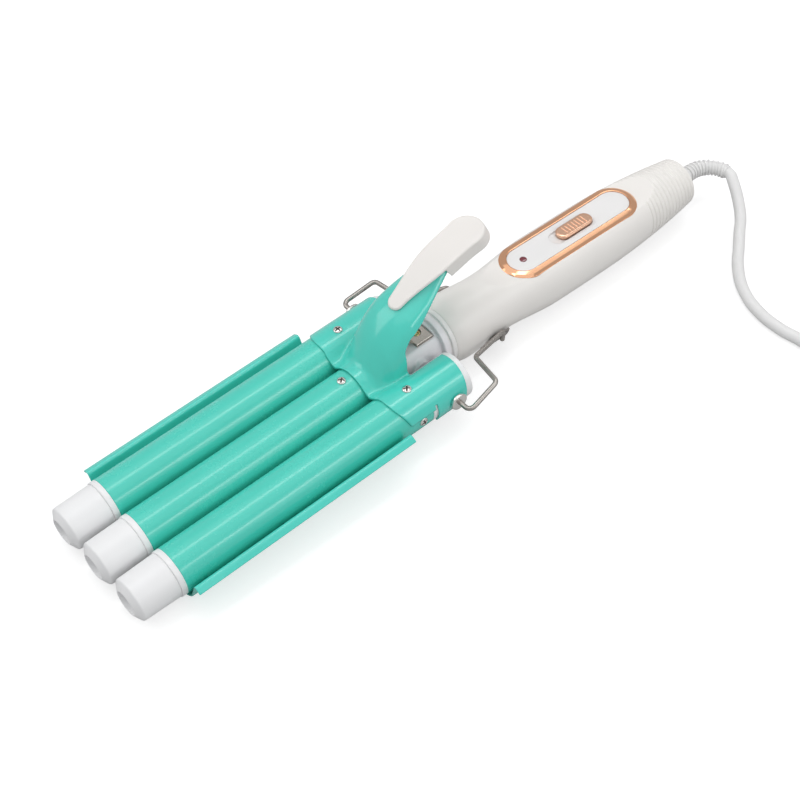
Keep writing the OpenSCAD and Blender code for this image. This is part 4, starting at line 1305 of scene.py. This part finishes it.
@dataclass
class Fasteners:
    """Cross-head screws, hinge screws, and the doubled leaf spring with its brass screw."""

    head_r: float = 2.4
    head_h: float = 1.1
    dome: Pair = (3.6, 4.72)
    slot_w: float = 0.8
    slot_l: float = 3.4
    slot_d: float = 1.0
    hinge_profile: tuple[Pair, ...] = ((6.0, 0.0), (6.0, 2.5), (40.6, 2.5), (40.6, 4.75), (42.3, 4.75),
                                       (42.3, 1.3), (38.6, 1.25), (38.6, 0.0))
    leaf_x: Pair = (-12.85, -2.8)
    leaf_half: float = 7.1
    leaf_t: float = 0.75
    leaf_z: Pair = (9.6, 10.85)
    arm: Triple = (21.2, 5.0, 0.45)
    arm_angle: float = 46.0
    arm_root: Pair = (-2.8, 11.15)
    hole: Triple = (-8.1, 2.75, 10.6)
    fold: tuple[float, float, float, float] = (-12.8, 10.6, 0.55, 0.45)
    fold_over: float = 0.05
    arm_buried: float = 0.5
    spring_ease: float = 0.15
    top_screw: Pair = (20.8, 13.6)
    side_screw: float = 21.4
    side_screw_raised: float = 2.0
    tube_screw: float = 40.4
    spring_screw_z: float = 10.5

    def bars(
        self, x: Array, y: Array, z: Array, shorter: float, wider: float, low: float, high: float
    ) -> Array:
        """The field of the two crossed bars of a screw's slot.

        Args:
            x, y, z: The points, with the head's foot at 0.
            shorter: What comes off each end of a bar.
            wider: What is added to each side.
            low: The bars' lower face.
            high: Their upper face.

        Returns:
            The field there.
        """
        long, wide = self.slot_l / 2 - shorter, self.slot_w / 2 + wider
        one = box_field(x, y, z, (-long, -wide, low), (long, wide, high))
        two = box_field(x, y, z, (-wide, -long, low), (wide, long, high))
        return np.minimum(one, two)

    def head(self, x: Array, y: Array, z: Array) -> Array:
        """The field of a domed cross head.

        Args:
            x, y, z: The points, with the head's foot at 0.

        Returns:
            The field there.
        """
        below, dome_r = self.dome
        rim_ease, foot, foot_ease, slot_ease, above = 0.4, 0.25, 0.1, 0.12, 3
        dome = np.sqrt(x * x + y * y + (z + below) ** 2) - dome_r
        solid = blend_max(blend_max(np.hypot(x, y) - self.head_r, dome, rim_ease), -foot - z, foot_ease)
        slot = self.bars(x, y, z, 0, 0, self.head_h - self.slot_d, above)
        return blend_max(solid, -slot, slot_ease)

    def cross(self, x: Array, y: Array, z: Array) -> Array:
        """The field of the thin dark cross of painted shade on a cross slot's floor, from the points with the
        head's foot at 0.
        """
        shorter, wider, foot, thick = 0.05, 0.02, -0.1, 0.25
        return self.bars(x, y, z, shorter, wider, foot, self.head_h - self.slot_d + thick)

    def small_screws(self, repeat: RepeatTree) -> None:
        """Sets the small screws in the clamp, the middle tube and the spring, with painted shade in the steel
        ones' slots.

        Args:
            repeat: The tree that repeats a head.
        """
        head = surface_net(self.head, (-2.7, -2.7, -0.5), (2.7, 2.7, 1.5), 0.12)
        # The thin dark cross is painted shade, laid on the floor of each steel screw's slot.
        slot = surface_net(self.cross, (-2.1, -2.1, -0.3), (2.1, 2.1, 0.7), 0.1)
        matrix = Space.DEVICE.matrix()

        def at(place: Triple, facing: Triple, spin: float) -> Spot:
            """Gives one screw's place in the row frame."""
            return Spot(matrix @ Vector(place), (matrix.to_3x3() @ Vector(facing)).normalized(), spin)

        up, raised = (0, 0, 1), math.radians(self.side_screw_raised)
        cos, sin = math.cos(raised), math.sin(raised)
        clamp = []
        for side in (-1, 1):
            out = side * (PITCH + BARREL_R * cos)
            clamp.append(at((self.top_screw[0], side * PITCH, self.top_screw[1]), up, 0.5 + 0.4 * side))
            clamp.append(at((self.side_screw, out, BARREL_R * sin), (0, side * cos, sin), 0.3))
        tube = [at((self.tube_screw, 0, BARREL_R), up, 0.7)]
        repeat.apply("clamp_screw_heads", clamp, head, STEEL, "clamp", "clamp_screws")
        # Painted shade: a dark cross on each slot's floor.
        repeat.apply("clamp_screw_slots", clamp, slot, SLOT_PAINTED_SHADE, "clamp")
        repeat.apply("tube_screw_head", tube, head, STEEL, "handle", "middle_barrel_screw")
        repeat.apply("tube_screw_slot", tube, slot, SLOT_PAINTED_SHADE, "handle")
        spring = [at((self.hole[0], 0, self.spring_screw_z), up, 0.6)]
        repeat.apply("spring_screw_head", spring, head, BRASS, "handle", "spring_screw")

    def hinge(self) -> None:
        """Turns the two hinge screws with their pan heads."""
        profile = eased(self.hinge_profile, (0, 0, 0, 0.2, 0.9, 0.2, 0.1, 0), 6)
        mesh = joined([lathe([(side * y, r) for y, r in profile], 64, "Y") for side in (-1, 1)])
        new_piece("hinge_pins", mesh, Space.DEVICE, STEEL, "handle", "hinge_screws")

    def spring(self, x: Array, y: Array, z: Array) -> Array:
        """The field of the doubled leaf and its narrower arm.

        Args:
            x, y, z: The points, in the device's frame.

        Returns:
            The field there.
        """
        (rear, front), half = self.leaf_x, self.leaf_half
        leaves = [
            box_field(x, y, z, (rear, -half, foot), (front, half, foot + self.leaf_t))
            for foot in self.leaf_z]
        fold_x, fold_z, fold_r, fold_t = self.fold
        shell = np.abs(np.hypot(x - fold_x, z - fold_z) - fold_r) - fold_t
        bend = all_of(shell, np.abs(y) - half, x - fold_x - self.fold_over)
        length, arm_half, arm_t = self.arm
        a = math.radians(self.arm_angle)
        px, pz = x - self.arm_root[0], z - self.arm_root[1]
        u, w = px * math.cos(a) + pz * math.sin(a), pz * math.cos(a) - px * math.sin(a)
        arm = all_of(np.abs(w) - arm_t, np.abs(y) - arm_half, -self.arm_buried - u, u - length)
        hole_x, hole_r, hole_z = self.hole
        hole = np.maximum(np.hypot(x - hole_x, y) - hole_r, hole_z - z)
        return blend_max(np.minimum.reduce([*leaves, bend, arm]), -hole, self.spring_ease)

    def build(self, repeat: RepeatTree) -> None:
        """Makes every fastener and the spring.

        Args:
            repeat: The tree that repeats a head.
        """
        self.small_screws(repeat)
        self.hinge()
        mesh = surface_net(self.spring, (-14.5, -8, 9), (13.5, 8, 28), 0.2)
        new_piece(
            "spring_leaf", mesh, Space.DEVICE, SPRING_STEEL, "handle", "lever_spring", mend=False, crease=40)


@dataclass
class RestStand:
    """The bent wires from the hinge screws and the dark foot plate under the grip."""

    wire_r: float = 1.3
    bend_r: float = 3.0
    corners: tuple[Triple, ...] = ((0, 38.8, 0), (0, 49.6, 0), (-20.2, 47.3, 4.3), (-24.1, 26.7, 2.6))
    hook: float = 18.0
    foot: Pair = (-55.5, -42.5)
    foot_in: float = 18.4
    foot_out: float = 19.6
    foot_ease: float = 0.45
    foot_start: float = 190.0
    foot_span: float = 160.0
    foot_steps: int = 72

    def wires(self, sweep: SweepTree) -> None:
        """Sweeps both wires from the hinge screws to the foot.

        Args:
            sweep: The tree that sweeps a wire.
        """
        tail_r = self.foot_out + self.wire_r + 0.3
        tail_x = sum(self.foot) / 2
        drop = tail_x * math.sin(DROOP)
        a = math.radians(self.hook)
        points = [*self.corners, (tail_x, tail_r, drop + 1),
                  (tail_x, tail_r * math.cos(a), drop - tail_r * math.sin(a))]
        lines = [Space.DEVICE.place(np.array(points, float) * (1, side, 1)) for side in (1, -1)]
        radius, bend = self.wire_r * MM, self.bend_r * MM
        sweep.apply("stand_wire", lines, radius, bend, WIRE_STEEL, "stand", "stand_wires")

    def foot_plate(self) -> None:
        """Bends the foot plate round the underside of the grip."""
        (rear, front), inner, outer = self.foot, self.foot_in, self.foot_out
        corners = [(rear, inner), (rear, outer), (front, outer), (front, inner), (rear, inner)]
        section = eased(corners, self.foot_ease, 4)[:-1]
        rings = []
        for i in range(self.foot_steps + 1):
            a = math.radians(self.foot_start + self.foot_span * i / self.foot_steps)
            rings.append([(x, r * math.cos(a), r * math.sin(a)) for x, r in section])
        new_piece("foot_plate", grid_mesh(rings), Space.HANDLE, FOOT_DARK, "stand", "stand_foot", crease=40)

    def build(self, sweep: SweepTree) -> None:
        """Makes the stand."""
        self.wires(sweep)
        self.foot_plate()


@dataclass
class CordEnds:
    """The ribbed sleeve at the handle and the moulded two-pin plug.

    collar lists the sleeve's (way, radius) at the handle; plug_body the plug's (x, half width, half height,
    power of its section's roundness); relief one rib of the plug's neck as (x, radius) from its start.
    """

    straight: float = 12.0
    bend_r: float = 15.0
    angle: float = 85.0
    core_r: float = 3.8
    ribs: int = 13
    rib_t: float = 1.1
    rib_ease: float = 0.3
    rib_r: Pair = (4.9, 4.3)
    collar: tuple[Pair, ...] = ((-2.5, 3.8), (0.02, 3.8), (0.02, 5.3), (0.15, 5.4), (2.6, 5.4), (2.9, 5.25),
                                (3.0, 5.0), (3.05, 3.8))
    collar_l: float = 3.0
    plug_body: tuple[tuple[float, float, float, float], ...] = (
        (0.0, 16.4, 5.7, 3.2), (-0.35, 17.1, 6.4, 3.2), (-1.2, 17.5, 6.8, 3.2), (-5.0, 17.5, 6.8, 3.2),
        (-9.0, 17.2, 6.75, 3.0), (-13.0, 15.2, 6.6, 2.7), (-18.0, 11.4, 6.2, 2.4), (-23.0, 7.9, 5.8, 2.1),
        (-27.0, 6.0, 5.55, 2.0), (-30.0, 5.5, 5.4, 2.0))
    plug_ribs: int = 9
    relief_start: Pair = (-31.0, 5.3)
    relief_step: Pair = (2.6, 0.12)
    relief: tuple[Pair, ...] = ((0.0, 0.0), (-1.2, 0.0), (-1.35, -0.9), (-2.4, -0.9))
    pin: tuple[Pair, ...] = ((-1.0, 0.0), (-1.0, 2.0), (17.8, 2.0), (19.0, 1.2), (19.0, 0.0))
    pin_y: float = 9.3

    def sleeve_at(self, way: float) -> tuple[Vector, Vector]:
        """Gives the sleeve's middle and heading at a distance from the handle.

        Args:
            way: The distance along the sleeve.

        Returns:
            The point in millimetres and the direction, in the handle's frame.
        """
        if way <= self.straight:
            return Vector((-HANDLE_REAR - way, 0, 0)), Vector((-1, 0, 0))
        t = (way - self.straight) / self.bend_r
        end = -HANDLE_REAR - self.straight
        return (Vector((end - self.bend_r * math.sin(t), self.bend_r * (1 - math.cos(t)), 0)),
                Vector((-math.cos(t), math.sin(t), 0)))

    def sleeve(self, repeat: RepeatTree) -> None:
        """Makes the sleeve's core, and its ribs as repeated rings that grow smaller.

        Args:
            repeat: The tree that repeats a rib.
        """
        total = self.straight + self.bend_r * math.radians(self.angle)
        stations = [*self.collar, *[(w, self.core_r) for w in np.arange(4, total - 0.4, 0.8)],
                    (total - 0.1, self.core_r - 0.05), (total, self.core_r - 0.3)]
        rings, side = [], Vector((0, 0, 1))
        for way, r in stations:
            p, d = self.sleeve_at(max(way, 0.0))
            p = p + d * min(way, 0.0)
            other = d.cross(side)
            rings.append([tuple(p + (side * math.cos(t) + other * math.sin(t)) * r) for t in around(40)])
        mesh = grid_mesh(rings)
        new_piece("cord_sleeve", mesh, Space.HANDLE, CORD_WHITE, "handle", "strain_relief", crease=40)
        m = Space.HANDLE.matrix()
        first, last = self.rib_r
        spots = []
        for i in range(self.ribs):
            share = (i + 0.5) / self.ribs
            p, d = self.sleeve_at(self.collar_l + (total - self.collar_l - self.rib_t) * share)
            spots.append(Spot(m @ p, (m.to_3x3() @ d).normalized(), 0.0, 1 + (last / first - 1) * share))
        rib = eased([(0.0, 0.0), (0.0, first), (self.rib_t, first), (self.rib_t, 0.0)], self.rib_ease, 3)
        repeat.apply("cord_sleeve_ribs", spots, lathe(rib, 40, "Z"), CORD_WHITE, "handle")

    def plug(self) -> None:
        """Lofts the plug from its broad face to its round neck, and turns its pins."""
        sections = list(self.plug_body)
        for i in range(self.plug_ribs):
            x, r = [start - i * step for start, step in zip(self.relief_start, self.relief_step)]
            sections += [(x + dx, r + dr, r + dr, 2.0) for dx, dr in self.relief]
        t = around(72)
        c, s = np.cos(t), np.sin(t)
        rings = [np.column_stack([
            np.full(len(t), x), half_w * np.sign(c) * np.abs(c) ** (2 / power),
            half_h * np.sign(s) * np.abs(s) ** (2 / power)]) for x, half_w, half_h, power in sections]
        new_piece("mains_plug", grid_mesh(rings), Space.PLUG, PLUG_WHITE, "handle", "plug_body", crease=40)
        pin = eased(self.pin, (0, 0, 0.5, 0.5, 0))
        mesh = joined([lathe(pin, 40, "X", (0, side * self.pin_y, 0)) for side in (-1, 1)])
        new_piece("mains_pins", mesh, Space.PLUG, PIN_NICKEL, "handle", "plug_pins")

    def build(self, repeat: RepeatTree) -> None:
        """Makes both ends."""
        self.sleeve(repeat)
        self.plug()


@dataclass
class MainsCord:
    """The cord from the handle's sleeve, its coil outside the view, and its plug."""

    diameter: float = 6.5
    coil_centre: Pair = (-184.98, 180.0)
    low_radii: Pair = (45.5, 26.0)
    high_radii: Pair = (26.0, 48.2)
    low_turns: float = 3.0
    step_turns: float = 0.2
    turns: float = 6.617
    start_angle: float = -50.0
    per_turn: int = 16
    base_z: float = 3.35
    route: list[Triple] = field(default_factory=lambda: [
        (-222.98, 12, 18.8), (-222.98, 16, 18.7), (-220.98, 20, 17.6), (-215.98, 29, 13), (-208.98, 38, 8.3),
        (-202.98, 43, 5.5), (-196.08, 49, 3.7), (-183.08, 60, 3.4), (-172.08, 74, 3.4), (-166.08, 90, 3.4),
        (-165.08, 106, 3.4), (-166.88, 119, 3.4), (-166.48, 127, 3.4), (-164.48, 134, 3.4),
    ])
    lead: list[Triple] = field(default_factory=lambda: [
        (-232.68, 186.7, 9.75), (-234.38, 174, 9.4), (-235.38, 162, 8.2), (-234.98, 151, 6.9),
    ])

    def coil(self) -> list[Triple]:
        """Winds the turns: inwards on the table, up one diameter, and outwards again.

        Returns:
            Points in millimetres.
        """
        points = []
        up_at = self.low_turns + self.step_turns
        for i in range(1, int(self.turns * self.per_turn)):
            turn = i / self.per_turn
            if turn < self.low_turns:
                share, (first, last) = turn / self.low_turns, self.low_radii
            else:
                share, (first, last) = max(0.0, turn - up_at) / (self.turns - up_at), self.high_radii
            r = first + (last - first) * share
            rise = min(1.0, max(0.0, (turn - self.low_turns) / self.step_turns))
            a = math.radians(self.start_angle + 360 * turn)
            z = self.base_z + (self.diameter - 0.1) * rise * rise * (3 - 2 * rise)
            points.append((self.coil_centre[0] + r * math.cos(a), self.coil_centre[1] + r * math.sin(a), z))
        return points

    def build(self) -> None:
        points = self.route + self.coil() + self.lead
        data = bpy.data.curves.new("mains_cord", "CURVE")
        data.dimensions, data.bevel_depth, data.bevel_resolution = "3D", self.diameter / 2 * MM, 5
        data.resolution_u, data.use_fill_caps = 6, True
        spline = data.splines.new("BEZIER")
        spline.bezier_points.add(len(points) - 1)
        for b, p in zip(spline.bezier_points, points):
            b.co = Vector(p) * MM
            b.handle_left_type = b.handle_right_type = "AUTO"
        obj = new_object("mains_cord", data)
        data.materials.append(CORD_WHITE.build())
        register(obj, CORD_WHITE, "handle", "power_cord", "cord_coil", "plug_lead")
        tuple(Vector(self.route[0]) * MM)


@dataclass
class CarriedNodes:
    """The CAD nodes that show as they are, with their finishes."""

    finishes: dict[str, Finish] = field(default_factory=lambda: {
        "power_switch": BLACK, "circuit_board": LAMINATE, "board_components": BLACK,
        "indicator_lamp": LENS_RED, "mains_leads": LEAD, "heater_leads": LEAD, "middle_heater": SHOE_METAL,
        "left_heater": SHOE_METAL, "right_heater": SHOE_METAL, "jaw_rivets": STEEL,
    })

    def dress(self) -> None:
        """Gives every CAD node its material."""
        for name, finish in self.finishes.items():
            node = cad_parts[name]
            for slot in node.material_slots:
                slot.material = finish.build()
            if not node.material_slots:
                node.data.materials.append(finish.build())
            log.info("%s: %s", name, finish.name)


# ---------------------------------------------------------------------------------------------
# Surroundings


@dataclass
class Studio:
    """Camera, lamps, table and pale surroundings, in metres and watts."""

    eye: Triple = (0.35778208, 0.4248725, 0.62391104)
    right: Triple = (-0.75856928, 0.65129803, -0.01958369)
    up: Triple = (-0.50240671, -0.56548789, 0.65407258)
    lens: float = 72.296
    sensor: float = 36.0
    nearest: float = 0.01
    air_colour: tuple[float, float, float, float] = (0.98, 0.99, 1.0, 1.0)
    air_light: float = 0.57
    floor_half: float = 3.0
    floor_grey: float = 0.55
    floor_glow: float = 0.6
    centre: Triple = (0.0, 0.0, 0.0)
    tubes: Triple = (-0.4, 0.0, 0.03)

    def build(self) -> None:
        """Sets up everything that isn't part of the object."""
        bpy.context.scene.view_settings.view_transform = "Standard"
        self.camera()
        self.world()
        self.floor()
        self.lamps()

    def camera(self) -> None:
        """Places the camera at the viewing angle."""
        right, up = Vector(self.right), Vector(self.up)
        data = bpy.data.cameras.new("view")
        data.lens, data.sensor_width, data.clip_start = self.lens, self.sensor, self.nearest
        cam = new_object("view", data)
        back = right.cross(up)
        cam.matrix_world = Matrix([(*q, 0) for q in (right, up, back)] + [(*self.eye, 1)]).transposed()
        bpy.context.scene.camera = cam

    def world(self) -> None:
        """Makes soft surroundings that look plain pale grey to the camera and through glass."""
        world = bpy.data.worlds.new("surroundings")
        bpy.context.scene.world = world
        world.use_nodes = True
        tree = world.node_tree
        tree.nodes.clear()
        out, shade, seen, path, either, mix = (tree.nodes.new("ShaderNode" + kind) for kind in (
            "OutputWorld", "Background", "Background", "LightPath", "Math", "MixShader"))
        set_inputs(shade, {"Color": self.air_colour, "Strength": self.air_light})
        set_inputs(seen, {"Strength": 1.0})
        either.operation = "MAXIMUM"
        for start, end in (
            (path.outputs["Is Camera Ray"], either.inputs[0]),
            (path.outputs["Is Transmission Ray"], either.inputs[1]),
            (either.outputs[0], mix.inputs["Fac"]), (shade.outputs[0], mix.inputs[1]),
            (seen.outputs[0], mix.inputs[2]), (mix.outputs[0], out.inputs["Surface"]),
        ):
            tree.links.new(start, end)

    def floor(self) -> None:
        """Lays a plain pale table that keeps the object's shadow."""
        h = self.floor_half
        mesh = bpy.data.meshes.new("table")
        mesh.from_pydata([(-h, -h, 0), (h, -h, 0), (h, h, 0), (-h, h, 0)], [], [(0, 1, 2, 3)])
        obj = new_object("table", mesh)
        mat = bpy.data.materials.new("table_white")
        mat.use_nodes = True
        tree = mat.node_tree
        shader = tree.nodes["Principled BSDF"]
        set_inputs(shader, {
            "Base Color": (*[self.floor_grey] * 3, 1), "Roughness": 0.9, "Specular IOR Level": 0.0,
            "Emission Color": (1, 1, 1, 1)})
        path, glow = tree.nodes.new("ShaderNodeLightPath"), tree.nodes.new("ShaderNodeMath")
        glow.operation = "MULTIPLY"
        glow.inputs[1].default_value = self.floor_glow
        tree.links.new(path.outputs["Is Camera Ray"], glow.inputs[0])
        tree.links.new(glow.outputs[0], shader.inputs["Emission Strength"])
        mesh.materials.append(mat)

    def lamp(self, name: str, at: Triple, size: Pair, watts: float, target: Triple) -> None:
        """Adds one soft rectangular lamp.

        Args:
            name: The lamp's name.
            at: Its position.
            size: Its width and height.
            watts: Its power.
            target: The point it faces.
        """
        data = bpy.data.lights.new(name, "AREA")
        data.shape, data.size, data.size_y, data.energy = "RECTANGLE", size[0], size[1], watts
        obj = new_object(name, data)
        obj.location = at
        obj.rotation_euler = (Vector(at) - Vector(target)).to_track_quat("Z", "Y").to_euler()

    def lamps(self) -> None:
        """Places a broad lamp overhead, two at the sides, and two long strips that streak the tubes."""
        self.lamp("overhead", (0.1, -0.1, 1.6), (2.2, 2.2), 7.4, self.centre)
        self.lamp("left_box", (0.9, -0.9, 0.9), (0.9, 0.9), 3.6, self.centre)
        self.lamp("top_strip", (-0.4, -0.17, 1.06), (1.5, 0.18), 2.4, self.tubes)
        self.lamp("side_strip", (-0.4, 0.84, 0.66), (1.5, 0.14), 1.9, self.tubes)
        self.lamp("right_box", (-0.6, 1.2, 0.8), (0.8, 0.8), 1.8, self.centre)


def main() -> None:
    """Builds the whole scene."""
    logging.basicConfig(level=logging.INFO, format="%(name)s: %(message)s")
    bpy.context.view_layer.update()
    repeat, sweep = RepeatTree(), SweepTree()
    Studio().build()
    HandleShell().build()
    Neck().build()
    ControlGroup().build(repeat)
    Barrels().build()
    LowerJaw().build()
    ClampLever().build()
    ThumbCover().build()
    Fasteners().build(repeat)
    RestStand().build(sweep)
    CordEnds().build(repeat)
    MainsCord().build()
    CarriedNodes().dress()


if __name__ == "__main__":
    main()
